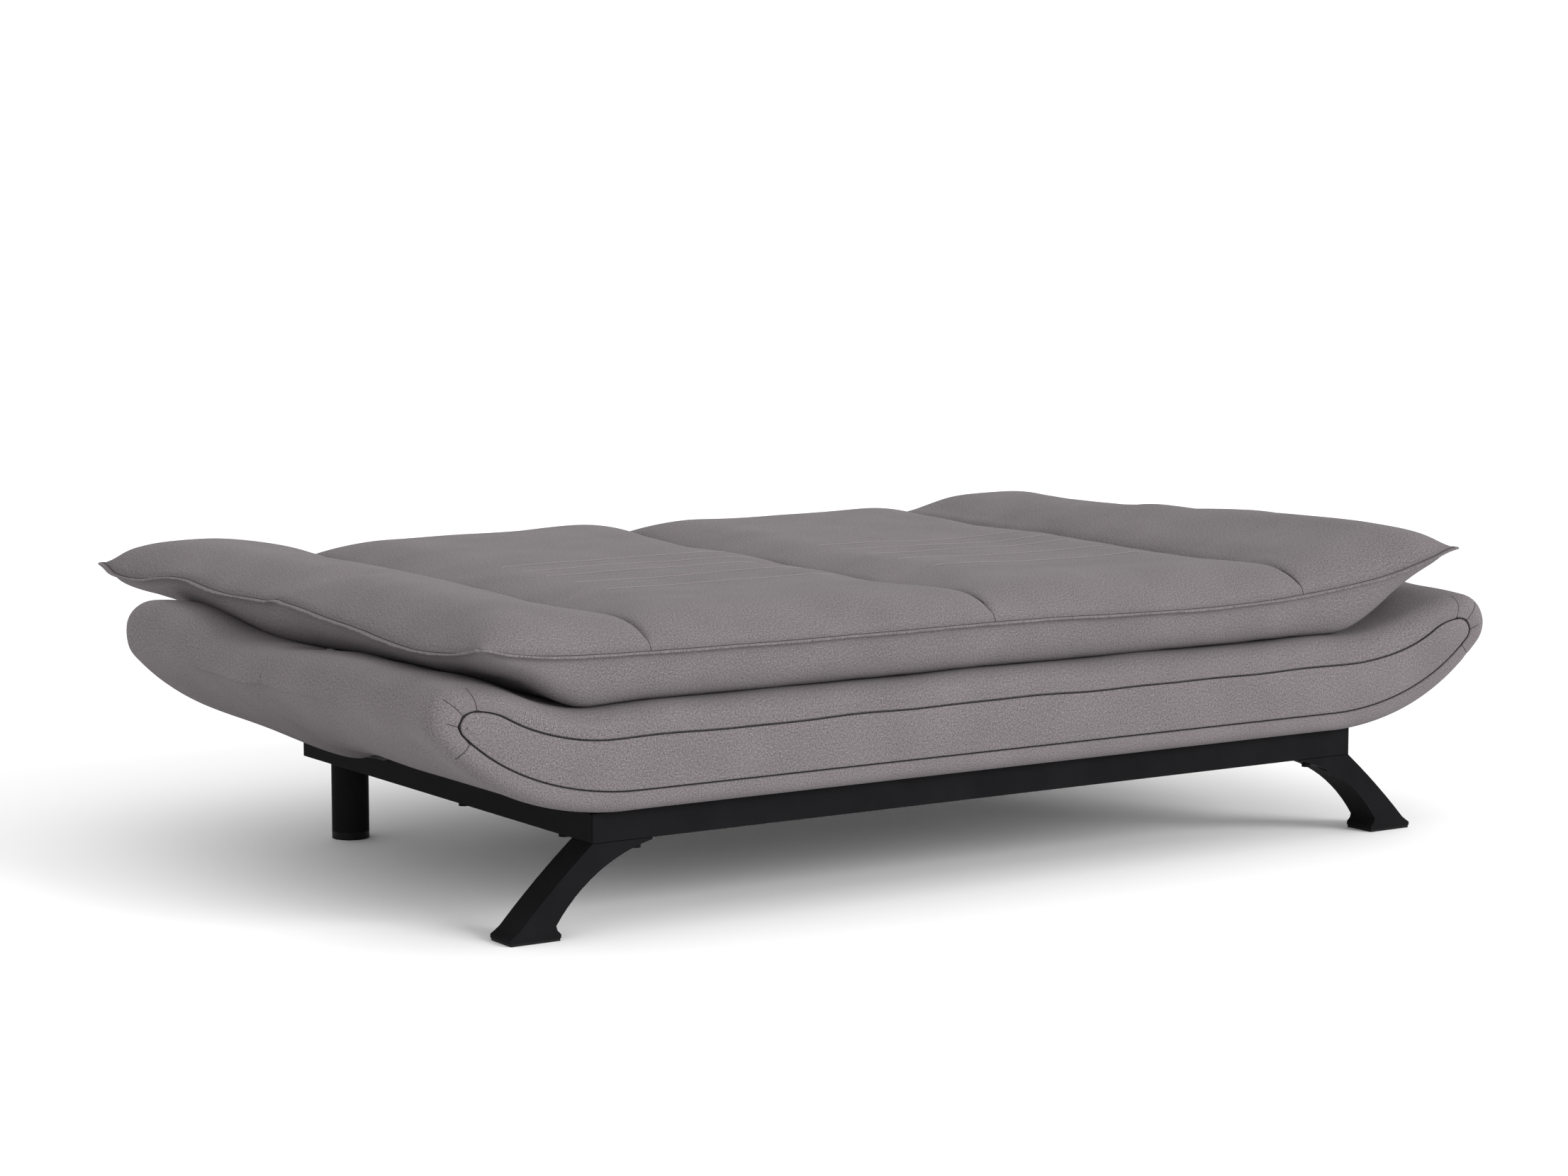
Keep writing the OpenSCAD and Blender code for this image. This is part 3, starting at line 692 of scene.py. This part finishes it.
def fold_wrinkles(obj):
    """Fine creases side by side on the ends, next to the fold and further back on the belly."""
    p = coords(obj)
    x, y, z = p[:, 0].copy(), p[:, 1], p[:, 2]
    wander = y - FOLD_Y + 0.0015 * waves(z, 0 * z, 0.12, 12)
    wander -= 0.085 * smooth((0.36 - z) / 0.12)
    on_ends = outwards(x, 0.74, 0.08)
    depth = WRINKLE_DEPTH * np.sin(wander * math.tau / WRINKLE_PITCH)
    depth *= np.exp(-np.abs(wander) / WRINKLE_REACH)
    p[:, 0] -= np.sign(x) * depth * on_ends
    set_coords(obj, p)


def lift_underside(obj, half):
    """Makes room under the cover for the dust cover."""
    p = coords(obj)
    low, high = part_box(half.prefix + "_dust_cover")
    inside = (
        (p[:, 2] < BASE_BOTTOM + 0.004) & (np.abs(p[:, 0]) < high.x)
        & (p[:, 1] > low.y) & (p[:, 1] < high.y)
    )
    p[inside, 2] = BASE_BOTTOM + 0.0035
    set_coords(obj, p)


def close_ring(sheet, ring_ids, bulge, flip, steps=6):
    """Closes a ring of the outline with a grid of strips.

    They run between its two chains, along the underside and the top from nose to nose.
    """
    under, over = (RIGHT_NOSE - LEFT_NOSE) % LOOP, (LEFT_NOSE - RIGHT_NOSE) % LOOP
    chains = (LEFT_NOSE + np.arange(under + 1)) % LOOP, (LEFT_NOSE - np.arange(over + 1)) % LOOP
    n = min(len(chain) for chain in chains)
    low_ids, up_ids = (
        ring_ids[chain[np.round(np.linspace(0, len(chain) - 1, n)).astype(int)]] for chain in chains
    )
    low, up = np.array(sheet.points)[low_ids], np.array(sheet.points)[up_ids]
    rows = [low_ids]
    for t in np.arange(1, steps) / steps:
        middle = low * (1 - t) + up * t
        middle[:, 1] += bulge * math.sin(math.pi * t)
        ids = sheet.add_points(middle[1:-1])
        rows.append(np.concatenate([[low_ids[0]], ids, [low_ids[-1]]]))
    rows.append(up_ids)
    index = np.array(rows)
    points = np.array(sheet.points)[index]
    sheet.grid(index, points[:, :, 0], points[:, :, 2], flip=flip)


# Edge of the inset panel, from deep in the groove to its face: growth of the outline, depth
PANEL_EDGE = ((-0.0004, 0.0066), (-0.0004, 0.0034), (-0.0010, 0.0013), (-0.0030, 0.0004),
              (-0.0090, -0.0002))


def inset_panel(half):
    """Long panel let into the outer face, with a small crown and turned-in edges."""
    sheet = Sheet()
    index = np.array([
        sheet.add_points(ring_at(panel_outline(grow), half.y(inward))) for grow, inward in PANEL_EDGE
    ])
    p = np.array(sheet.points)[index]
    p = np.concatenate([p, p[:, :1]], 1)
    sheet.grid(index, p[:, :, 0], p[:, :, 2], closed=True, flip=half.side < 0)
    close_ring(sheet, index[-1], half.side * 0.0015, flip=half.side > 0, steps=8)
    obj = sheet.build(half.prefix + "_panel")
    set_coords(obj, shape_base(half, coords(obj)))
    return subdivide(obj)


def tube(points, faces, line, radius, sides=5, up=(0, 0, 1), close=False):
    """Adds a thin tube round a line of points to lists of points and faces."""
    n = len(line)
    if close:
        tangent = np.roll(line, -1, axis=0) - np.roll(line, 1, axis=0)
    else:
        tangent = np.gradient(line, axis=0)
    tangent /= np.maximum(norm(tangent, axis=1, keepdims=True), 1e-9)
    side = np.cross(tangent, up)
    weak = norm(side, axis=1) < 1e-3
    side[weak] = np.cross(tangent[weak], (1.0, 0.0, 0.0))
    side /= norm(side, axis=1, keepdims=True)
    top = np.cross(side, tangent)
    first = len(points)
    for at, across, above in zip(line, side, top):
        for a in math.tau * np.arange(sides) / sides:
            points.append(at + radius * (math.cos(a) * across + math.sin(a) * above))
    ring = first + np.arange(sides)
    for k in range(n if close else n - 1):
        here, there = ring + k * sides, ring + (k + 1) % n * sides
        quads = np.stack([here, np.roll(here, -1), np.roll(there, -1), there], 1)
        faces.extend(quads.tolist())
    if not close:
        faces.append(ring[::-1].tolist())
        faces.append((ring + (n - 1) * sides).tolist())


def groove_shade_cord(half):
    """Near-black cord in the groove round the panel: painted shade that stands for the groove's shadow.
    """
    points, faces = [], []
    line = ring_at(panel_outline(0.0), half.y(GROOVE_SHADE_CORD_DEPTH))
    tube(points, faces, line, GROOVE_SHADE_CORD, sides=6, up=(0, 1, 0), close=True)
    obj = new_mesh(half.prefix + "_groove_cord", points, faces)
    set_coords(obj, shape_base(half, coords(obj)))
    return obj


# ---- pad

SEAM_X = (-0.6054, 0.0, 0.6054)
CHANNEL_Y = (-0.285, -0.181, -0.086, -0.010, 0.065)
# Gaps between a seam and the ends of the stitching in the channels
CHANNEL_START, CHANNEL_STOP = 0.100, 0.070
PAD_FLANGE = 0.012
STITCH_X = PAD_HALF_X - PAD_FLANGE
STITCH_Y = PAD_HALF_Y - PAD_FLANGE
# Height of the sewn edge along the front, then along the left end from front to rear
EDGE_FRONT = ((-0.915, 0.4285), (-0.79, 0.4110), (-0.70, 0.4065), (-0.54, 0.4040), (0.0, 0.4028),
              (0.58, 0.4030), (0.665, 0.4106), (0.755, 0.4230), (0.893, 0.4545), (0.915, 0.4590))
EDGE_LEFT = ((-0.64, 0.4290), (-0.57, 0.4190), (-0.49, 0.4110), (-0.416, 0.4080), (-0.35, 0.4110),
             (-0.254, 0.4180), (-0.155, 0.4230), (-0.063, 0.4290), (0.0, 0.4320), (0.021, 0.4340),
             (0.045, 0.4300), (0.107, 0.4270), (0.195, 0.4240), (0.262, 0.4260), (0.342, 0.4320),
             (0.413, 0.4290), (0.497, 0.4160), (0.582, 0.4160), (0.64, 0.4270))


def spline(points, x):
    """Smooth curve through control points."""
    px = np.array([p[0] for p in points])
    py = np.array([p[1] for p in points])
    slope = np.gradient(py, px)
    x = np.clip(x, px[0], px[-1])
    k = np.clip(np.searchsorted(px, x) - 1, 0, len(px) - 2)
    h = px[k + 1] - px[k]
    t = (x - px[k]) / h
    a = (1 + 2 * t) * (1 - t) ** 2
    b = t * (1 - t) ** 2
    c = t * t * (3 - 2 * t)
    d = t * t * (t - 1)
    return a * py[k] + b * h * slope[k] + c * py[k + 1] + d * h * slope[k + 1]


def edge_height(x, y):
    """Height of the sewn edge's surface, carried inwards over the whole pad."""
    along = spline(EDGE_FRONT, x)
    left = spline(EDGE_LEFT, y) - EDGE_LEFT[0][1]
    right = 0.003 * waves(y, 0 * y, 0.5, 21) - 0.006 * bump(y, 0.05, 0.30) - 0.034 * smooth(y / 0.62)
    near_left = smooth((-x - 0.74) / 0.17)
    near_right = smooth((x - 0.74) / 0.17)
    rear = smooth(y / 0.6) * 0.0025 * waves(x, 0 * x, 0.4, 22)
    corner = outwards(x, 0.85, 0.05) * outwards(y, 0.575, 0.05)
    ear = np.where(x < 0, 0.004, 0.0025) * corner
    return along + left * near_left + right * near_right + rear + ear


def seam_distance(x):
    return np.min([np.abs(x - s) for s in SEAM_X], axis=0)


def pad_top(x, y):
    """Height of the pad's top above its sewn edge."""
    dx, dy = STITCH_X - np.abs(x), STITCH_Y - np.abs(y)
    at_rear = smooth(y / 0.3)
    left_end = smooth((-x - 0.60) / 0.15)
    hx = rise(dx, np.where(x < 0, 0.105 - 0.028 * at_rear, 0.074), 2.1)
    hy = rise(dy, 0.105 + 0.125 * at_rear * (1 - left_end) - 0.020 * at_rear * left_end, 2.1)
    near_edge = 1 - smooth((dy - 0.06) / 0.22)
    towards_rear = smooth((y - 0.05) / 0.35)
    valley = 0.0245 + 0.0115 * near_edge - 0.0100 * towards_rear
    outer = outwards(x, SEAM_X[2], 0.04)
    crest = np.where(x < 0, 0.4690, 0.4935 - 0.023 * smooth((y + 0.30) / 0.62))
    end_crown = np.clip(crest - edge_height(x, y), 0.026, 0.056)
    crown = (0.0385 + 0.005 * near_edge + 0.0035 * towards_rear) * (1 - outer) + end_crown * outer
    d = seam_distance(x)
    end_width = np.where(x < 0, 0.25, 0.25 + 0.07 * towards_rear)
    end_power = np.where(x < 0, 1.3, 1.3 - 0.18 * towards_rear)
    pillow = rise(d, 0.120, 1.7) * (1 - outer) + rise(d, end_width, end_power) * outer
    soft = 0.0016 * waves(x, y, 0.26, 31)
    return hx * hy * (valley + (crown - valley) * pillow + soft)


def pad_under(x, y, middle):
    """Depth of the pad's underside below its sewn edge."""
    dx, dy = STITCH_X - np.abs(x), STITCH_Y - np.abs(y)
    at_front = 1 - smooth((y + 0.5) / 0.2)
    hx, hy = rise(dx, 0.060, 2.1), rise(dy, 0.060 - 0.014 * at_front, 2.3)
    corner = outwards(x, 0.695, 0.17) * outwards(y, 0.44, 0.15)
    lift = np.where(x > 0, 0.72, np.where(y < 0, 0.48, 0.30))
    hx = hx * (1 - lift * corner)
    rest = base_top_at(x) + 0.0025 - 0.35 * tip_droop(x, y, 1.0) - pressed_top(x, y)
    sag = 0.013 * behind_fold(y) * outwards(x, 0.70, 0.25)
    depth = np.maximum(middle - rest + sag, 0.020)
    return depth * hx * hy


PAD_SPACING = 0.0155
PAD_ROUNDED = 0.06
CORNER_R = 0.050


def grid_lines(half, seams):
    """Places of the pad's grid lines: close together near the edges and at seams."""
    a = np.radians(np.linspace(0, 90, 9))
    edge = PAD_ROUNDED * (1 - np.cos(a))
    reach = half - PAD_ROUNDED
    inner = np.linspace(-half + PAD_ROUNDED, reach, int(2 * reach / PAD_SPACING) + 1)
    lines = list(-half + edge[:-1]) + list(inner) + list(half - edge[:-1])
    for place in seams:
        lines = [v for v in lines if abs(v - place) > PAD_SPACING * 0.75]
        lines += [place + step for step in (-0.0075, -0.0028, 0.0, 0.0028, 0.0075)]
    return np.array(sorted(lines))


def plan(gx, gy):
    """The pad's plan: rounded corners, sides drawn in a little, middle sections askew."""
    r = CORNER_R
    a = np.clip((np.abs(gx) - (STITCH_X - r)) / r, 0, 1)
    b = np.clip((np.abs(gy) - (STITCH_Y - r)) / r, 0, 1)
    ax = a * np.sqrt(1 - b * b / 2)
    by = b * np.sqrt(1 - a * a / 2)
    ear = 0.90 * (a * b) ** 1.5
    ax, by = ax + (a - ax) * ear, by + (b - by) * ear
    x = np.where(a > 0, np.sign(gx) * (STITCH_X - r + r * ax), gx)
    y = np.where(b > 0, np.sign(gy) * (STITCH_Y - r + r * by), gy)
    side_in = 0.010 * (1 - (gy / STITCH_Y) ** 2)
    front_in = 0.006 * (1 - (gx / STITCH_X) ** 4)
    seam_in = 0.0025 * np.exp(-(seam_distance(gx) / 0.05) ** 2)
    x += (0.008 + 0.043 * gy) * (1 - outwards(gx, 0.66, 0.22))
    reach = 0.012 * smooth((-gx - 0.70) / 0.2) * smooth((gy - 0.35) / 0.28)
    x, y = x - reach, y + 0.4 * reach
    x -= np.sign(x) * side_in * outwards(gx, 0.55, 0.36)
    y -= np.sign(y) * (front_in + seam_in) * outwards(gy, 0.35, 0.28)
    return x, y


def cloth_lengths(x, y, z):
    """Lengths along the cloth, measured on its middle row and a column near its middle."""
    p = np.stack([x, y, z], -1)
    lengths = []
    for line in (p[p.shape[0] // 2], p[:, int(p.shape[1] * 0.42)]):
        steps = norm(np.diff(line, axis=0), axis=1)
        lengths.append(np.concatenate([[0], np.cumsum(steps)]))
    return np.meshgrid(*lengths)


# Profile of the sewn edge, from its upper line round to its lower line: reach outwards, height
FLANGE = ((0.0026, 0.0010), (0.0060, 0.0017), (0.0092, 0.0016), (0.0110, 0.0008), (0.0115, -0.0004),
          (0.0106, -0.0018), (0.0080, -0.0024), (0.0050, -0.0022), (0.0024, -0.0014))
FLANGE_HALF = 0.0012
SEAM_OUT, SEAM_UP = 0.0017, 0.0004


def sew_edge(sheet, middle, top_ids, under_ids):
    """Adds the sewn edge round the pad. Gives its upper line's points and the ways out in plan."""
    walk = tuple(np.array(ring_walk(top_ids.shape)).T)
    rim = middle[walk]
    out = outward(rim)
    u = loop_lengths(rim)
    wave = 0.0006 * np.sin(u[:-1] * math.tau / 0.19)
    wave += 0.0003 * np.sin(u[:-1] * math.tau / 0.061 + 1.0)
    rows = [top_ids[walk]]
    vs = [0.0]
    for reach, height in FLANGE:
        ring = rim + out * reach
        ring[:, 2] += height + wave * (reach / PAD_FLANGE)
        rows.append(sheet.add_points(ring))
        vs.append(reach)
    rows.append(under_ids[walk])
    vs.append(2 * PAD_FLANGE)
    sheet.grid(np.array(rows), *np.meshgrid(u, vs), closed=True, flip=True)
    return rows[0], out


def pad_pins(count, top_ids, under_ids, seam_columns, resting):
    """Points that the simulation holds: the edges, the seams and where the pad lies on the base."""
    pinned = np.ones(count, bool)
    pinned[top_ids[2:-2, 2:-2]] = False
    pinned[under_ids[3:-3, 3:-3]] = False
    pinned[top_ids[:, seam_columns]] = True
    pinned[under_ids[resting]] = True
    return pinned


def build_pad():
    """The pad, with the lines of its edge seam and of its cross seams."""
    xs = grid_lines(STITCH_X, SEAM_X)
    gx, gy = np.meshgrid(xs, grid_lines(STITCH_Y, CHANNEL_Y))
    x, y = plan(gx, gy)
    middle = edge_height(x, y)
    top = middle + FLANGE_HALF + pad_top(gx, gy)
    under = middle - FLANGE_HALF - pad_under(gx, gy, middle)
    sheet = Sheet()
    top_ids = sheet.add_points(np.stack([x, y, top], -1)).reshape(gx.shape)
    under_ids = sheet.add_points(np.stack([x, y, under], -1)).reshape(gx.shape)
    sheet.grid(top_ids, *cloth_lengths(x, y, top))
    sheet.grid(under_ids, *cloth_lengths(x, y, under), flip=True)
    rim_ids, out = sew_edge(sheet, np.stack([x, y, middle], -1), top_ids, under_ids)
    obj = sheet.build("pad")
    count = len(sheet.points)
    for name, on_top, on_under in (("plan_x", gx, gx), ("plan_y", gy, gy), ("layer", 1.0, 0.0)):
        values = np.zeros(count)
        values[top_ids] = on_top
        values[under_ids] = on_under
        store(obj, name, values)
    seam_columns = [int(np.argmin(np.abs(xs - place))) for place in SEAM_X]
    resting = (under < base_top_at(x) + 0.006) & (np.abs(gy) < STITCH_Y - 0.07)
    pinned = pad_pins(count, top_ids, under_ids, seam_columns, resting)
    inflate(obj, pinned, pressure=2.2, cap=0.010, shrink=-0.006, bending=0.8, inward=0.010, crisp=0.2)
    points = coords(obj)
    rim_line = points[rim_ids] + out * SEAM_OUT + np.array([0.0, 0.0, SEAM_UP])
    seam_lines = [points[top_ids[:, column]] for column in seam_columns]
    subdivide(obj)
    sew_channels(obj)
    return obj, rim_line, seam_lines


def ring_walk(shape):
    rows, cols = shape
    walk = [(0, j) for j in range(cols)]
    walk += [(i, cols - 1) for i in range(1, rows)]
    walk += [(rows - 1, j) for j in range(cols - 2, -1, -1)]
    walk += [(i, 0) for i in range(rows - 2, 0, -1)]
    return walk


def outward(rim):
    """Unit vectors in plan that point out of a closed loop which runs anticlockwise."""
    tangent = np.roll(rim, -1, axis=0) - np.roll(rim, 1, axis=0)
    out = np.stack([tangent[:, 1], -tangent[:, 0], np.zeros(len(rim))], 1)
    out /= np.maximum(norm(out, axis=1, keepdims=True), 1e-9)
    return out


def channel_reach(x):
    """How strongly a sewn channel shows along its length: it fades out at the seams."""
    inside = smooth((SEAM_X[2] - np.abs(x)) / 0.03)
    away = smooth((seam_distance(x) - 0.045) / 0.060)
    return inside * away


def sew_channels(obj):
    """Presses the seams and sewn channels into the pad's top."""
    p = coords(obj)
    gx, gy, layer = stored(obj, "plan_x"), stored(obj, "plan_y"), stored(obj, "layer")
    top = layer > 0.5
    drop = np.zeros(len(p))
    for place in CHANNEL_Y:
        d = np.abs(gy - place)
        drop += (0.0006 * np.exp(-d / 0.0030) + 0.0022 * np.exp(-d / 0.022)) * channel_reach(gx)
    for place in SEAM_X:
        d = np.abs(gx - place)
        fade = smooth((STITCH_Y - np.abs(gy)) / 0.02)
        drop += 0.0045 * np.exp(-d / 0.0045) * fade
    p[:, 2] -= drop * top
    set_coords(obj, p)


def threads(name, cloth, lines, radius, lift, sink=0.0, **shape):
    """Sewing thread along lines on a piece of cloth. Its ends go down into it by sink radii."""
    tree = BVHTree.FromPolygons(
        [tuple(v) for v in coords(cloth)], [tuple(f.vertices) for f in cloth.data.polygons])
    points, faces = [], []
    for line in lines:
        hits = [tree.find_nearest(Vector(p)) for p in line]
        path = np.array([spot + normal * lift for spot, normal, _, _ in hits])
        path[[0, -1], 2] -= sink * radius
        tube(points, faces, path, radius, **shape)
    return new_mesh(name, points, faces)


def channel_lines(pad):
    """Lines of the sewn channels on the finished pad, between the outer seams."""
    p = coords(pad)
    gx, gy, layer = stored(pad, "plan_x"), stored(pad, "plan_y"), stored(pad, "layer")
    lines = []
    for place in CHANNEL_Y:
        on = (np.abs(gy - place) < 1e-5) & (layer > 0.5)
        for a, b in zip(SEAM_X[:-1], SEAM_X[1:]):
            part = on & (gx > a + CHANNEL_START) & (gx < b - CHANNEL_STOP)
            lines.append(p[part][np.argsort(gx[part])])
    return lines


# Darts round a tip: step of the outline at the panel, step at the outer edge, share of the border
DARTS = ((14.9, 15.3, 0.95), (9.6, 11.0, 0.75), (4.7, 5.6, 0.42), (-1.0, -3.4, 0.78))


def dart_lines(half):
    """Lines of the short seams that radiate over the border from the panel's ends."""
    lines = []
    for start, stop, share in DARTS:
        line = []
        for t in np.linspace(0.985, 0.97 - 0.97 * share, 16):
            loop, y = border_ring(half, t)
            at = FLAT_STEPS + BELLY_STEPS + start * t + stop * (1 - t)
            i, f = int(math.floor(at)), at - math.floor(at)
            p = loop[i] * (1 - f) + loop[i + 1] * f
            line.append((p[0], y, p[1]))
        lines.append(np.array(line))
        lines.append(np.array(line) * np.array([-1.0, 1.0, 1.0]))
    return [shape_base(half, line) for line in lines]


def dart_creases(half, cover, lines):
    """Pulls the cover in a little along the darts."""
    p = coords(cover)
    n = normals(cover)
    pts = np.concatenate(lines)
    near = np.flatnonzero((np.abs(p[:, 0]) > 0.82) & (np.abs(p[:, 1] - half.outer_y) < 0.06))
    d = norm(p[near][:, None, :] - pts[None, :, :], axis=2).min(axis=1)
    p[near] -= n[near] * (0.0014 * np.exp(-(d / 0.0042) ** 2))[:, None]
    set_coords(cover, p)


LIP_LENGTH = 0.150
LIP_START_Y = FOLD_Y + 0.095


def loose_lip():
    """Loose edge of the dust cover that hangs out over the left side rail behind the fold."""
    columns, rows = 34, 6
    ys = np.linspace(LIP_START_Y, LIP_START_Y + LIP_LENGTH, columns)
    t = (ys - ys[0]) / LIP_LENGTH
    hang = 0.0015 + 0.0150 * np.sin(math.pi * t) ** 0.8 * (1 + 0.15 * np.sin(t * 11.0))
    grid = []
    for s in np.arange(rows) / (rows - 1):
        x = -(FRAME_END - 0.006) - 0.0095 * math.sin(s * 1.5) - 0.0010 * np.sin(t * 17) * s
        z = BASE_BOTTOM + 0.0010 - hang * s
        grid.append(np.stack([x, ys, z], 1))
    sheet = Sheet()
    ids = sheet.add_points(grid).reshape(rows, columns)
    sheet.grid(ids, *np.meshgrid(ys, np.linspace(0, 0.014, rows)))
    return sheet.build("dust_sheet_lip")


# ---- scene

def material_of(obj, material):
    obj.data.materials.clear()
    obj.data.materials.append(material)


RAIL_ROUNDING, LEG_ROUNDING = 0.0025, 0.0012


def soften_edges(obj, width):
    """Rounded edges on a CAD node, by modifiers alone."""
    weld = obj.modifiers.new("Weld", "WELD")
    weld.merge_threshold = 0.00002
    bevel = obj.modifiers.new("Bevel", "BEVEL")
    bevel.width = width
    bevel.segments = 3
    bevel.limit_method = "ANGLE"
    bevel.angle_limit = math.radians(40)
    obj.modifiers.new("Normals", "WEIGHTED_NORMAL")


def finish_cad_nodes():
    """Gives the CAD nodes their materials, chosen by the last word of their names."""
    looks = {
        black_powder_coat(): ("_rail", "_tubes", "_leg", "_plates", "_bolts"),
        black_plastic(): ("_foot_pads", "_glides"),
        zinc_steel(): ("_springs", "_clips", "_bracket", "_arm", "_pins", "_pawl", "_screws"),
        plywood(): ("_former", "_boards"),
    }
    for name, obj in frame["nodes"].items():
        for material, endings in looks.items():
            if name.endswith(endings):
                material_of(obj, material)
        if name.endswith("_rail"):
            soften_edges(obj, RAIL_ROUNDING)
        if name.endswith("_front_leg"):
            soften_edges(obj, LEG_ROUNDING)


def dust_cover(half):
    """Sheet of non-woven stapled under one half."""
    low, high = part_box(half.prefix + "_dust_cover")
    gx, gy = np.meshgrid(np.linspace(low.x, high.x, 90), np.linspace(low.y, high.y, 34))
    inside = np.minimum(high.x - np.abs(gx), np.minimum(gy - low.y, high.y - gy))
    z = low.z + 0.0012 - 0.0018 * rise(inside, 0.05) + 0.0004 * waves(gx, gy, 0.12, 8)
    z = np.minimum(z, low.z + 0.002)
    sheet = Sheet()
    ids = sheet.add_points(np.stack([gx, gy, z], -1)).reshape(gx.shape)
    sheet.grid(ids, gx, gy, flip=True)
    obj = sheet.build(half.prefix + "_dust_sheet")
    return obj, (high.x - low.x, high.y - low.y)


def base_blend(obj):
    """Bakes the cover's placement into its points."""
    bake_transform(obj)


def pad_blend(obj):
    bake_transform(obj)


def base_goods(half, fabric, fleece, cord, thread):
    """The soft pieces of one half: cover, darts, panel, the near-black groove cord of painted shade, and
    dust cover.
    """
    cover = base_cover(half)
    material_of(cover, fabric)
    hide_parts(half.prefix + "_cover", half.prefix + "_foam")
    lines = dart_lines(half)
    dart_creases(half, cover, lines)
    darts = threads(half.prefix + "_dart_seams", cover, lines, DART_THREAD, 0.0001, up=(0, 0.3, 1))
    material_of(darts, thread)
    base_blend(cover)
    panel = inset_panel(half)
    material_of(panel, fabric)
    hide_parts(half.panel_node)
    # near-black cord in the groove: painted shade of the groove
    line = groove_shade_cord(half)
    material_of(line, cord)
    under, size = dust_cover(half)
    material_of(under, fleece)
    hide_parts(half.prefix + "_dust_cover")
    for piece in (panel, line, darts, under):
        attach(piece, half.body)


def pad_goods(fabric, edge_thread, channel_thread_and_highlight, seam_thread_and_shade):
    """The pad and its three kinds of stitching; the channel thread is lightened with painted highlight
    and the cross-seam thread darkened with painted shade.
    """
    pad, rim, seams = build_pad()
    material_of(pad, fabric)
    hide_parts("pad_seat_core", "pad_seat_cover", "pad_back_core", "pad_back_cover", "pad_fold")
    edge = threads("pad_edge_stitching", pad, [rim], SEAM_THREAD, 0.0002, close=True)
    material_of(edge, edge_thread)
    cross = threads("pad_seam_stitching", pad, seams, SEAM_THREAD, 0.0002, sink=3.0)
    material_of(cross, seam_thread_and_shade)
    lines = channel_lines(pad)
    channels = threads("pad_channel_stitching", pad, lines, CHANNEL_THREAD, 0.0010, sink=3.0)
    material_of(channels, channel_thread_and_highlight)
    for piece in (pad, edge, cross, channels):
        pad_blend(piece)


def soft_goods():
    fabric = twill_fabric()
    # near-black cord material: painted shade of the groove round the panel
    cord = thread_material("groove_dark", (0.004, 0.004, 0.004), (0.012, 0.012, 0.012))
    dark = thread_material("thread_dark", (0.020, 0.018, 0.019), (0.045, 0.042, 0.043))
    # pale thread: real channel topstitching, lightened past the fabric as painted highlight of the lit
    # channel ridges
    pale = thread_material("thread_pale", shade(FABRIC, 1.40), shade(FABRIC, 1.70))
    # seam thread: real cross-seam stitching, darkened below the fabric as painted shade of the seam
    # valleys
    seam = thread_material("thread_seam", shade(FABRIC, 0.34), shade(FABRIC, 0.52))
    fleece = nonwoven()
    for half in (SEAT, BACK):
        base_goods(half, fabric, fleece, cord, dark)
    pad_goods(fabric, dark, pale, seam)
    lip = loose_lip()
    material_of(lip, fleece)
    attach(lip, "back")


KEY_FROM = (0.45, -0.85, 0.36)
KEY_POWER, KEY_SPREAD = 2.45, 27.0
WORLD_STRENGTH = 1.10
FLOOR_HALF, FLOOR_Z = 30.0, -0.0002


def look_along(obj, direction):
    obj.rotation_mode = "QUATERNION"
    obj.rotation_quaternion = Vector(direction).to_track_quat("-Z", "Y")


def studio():
    """Pale floor, even light from all round, and one broad soft light."""
    n = Nodes("studio_floor")
    cloud = n.noise(n.object_coordinates(), 1.2, 2.0, 0.5)
    colour = n.ramp(cloud, [(0.3, (0.945, 0.945, 0.945)), (0.7, (0.955, 0.955, 0.955))])
    corners = ((-1, -1), (1, -1), (1, 1), (-1, 1))
    points = [(FLOOR_HALF * x, FLOOR_HALF * y, FLOOR_Z) for x, y in corners]
    floor = new_mesh("studio_floor", points, [[0, 1, 2, 3]])
    material_of(floor, n.finish(roughness=0.9, specular=0.1, colour=colour))
    world = bpy.data.worlds.new("studio")
    bpy.context.scene.world = world
    world.use_nodes = True
    background = world.node_tree.nodes["Background"]
    background.inputs["Color"].default_value = (1.0, 1.0, 1.0, 1.0)
    background.inputs["Strength"].default_value = WORLD_STRENGTH
    key = bpy.data.lights.new("key", "SUN")
    key.energy = KEY_POWER
    key.angle = math.radians(KEY_SPREAD)
    look_along(new_object("key", key), -Vector(KEY_FROM))
    view = bpy.context.scene.view_settings
    view.view_transform = "Standard"
    view.look = "None"
    view.exposure = 0.0


CAMERA_AT = (-3.4371, -5.2368, 1.1520)
CAMERA_YAW, CAMERA_DOWN = 0.582, 0.1209


def camera():
    data = bpy.data.cameras.new("camera")
    data.sensor_width = 36.0
    data.lens = 88.49
    data.clip_start, data.clip_end = 0.1, 200.0
    obj = new_object("camera", data)
    obj.location = CAMERA_AT
    level = math.cos(CAMERA_DOWN)
    look_along(obj, (math.sin(CAMERA_YAW) * level, math.cos(CAMERA_YAW) * level, -math.sin(CAMERA_DOWN)))
    bpy.context.scene.camera = obj


camera()
studio()
finish_cad_nodes()
soft_goods()
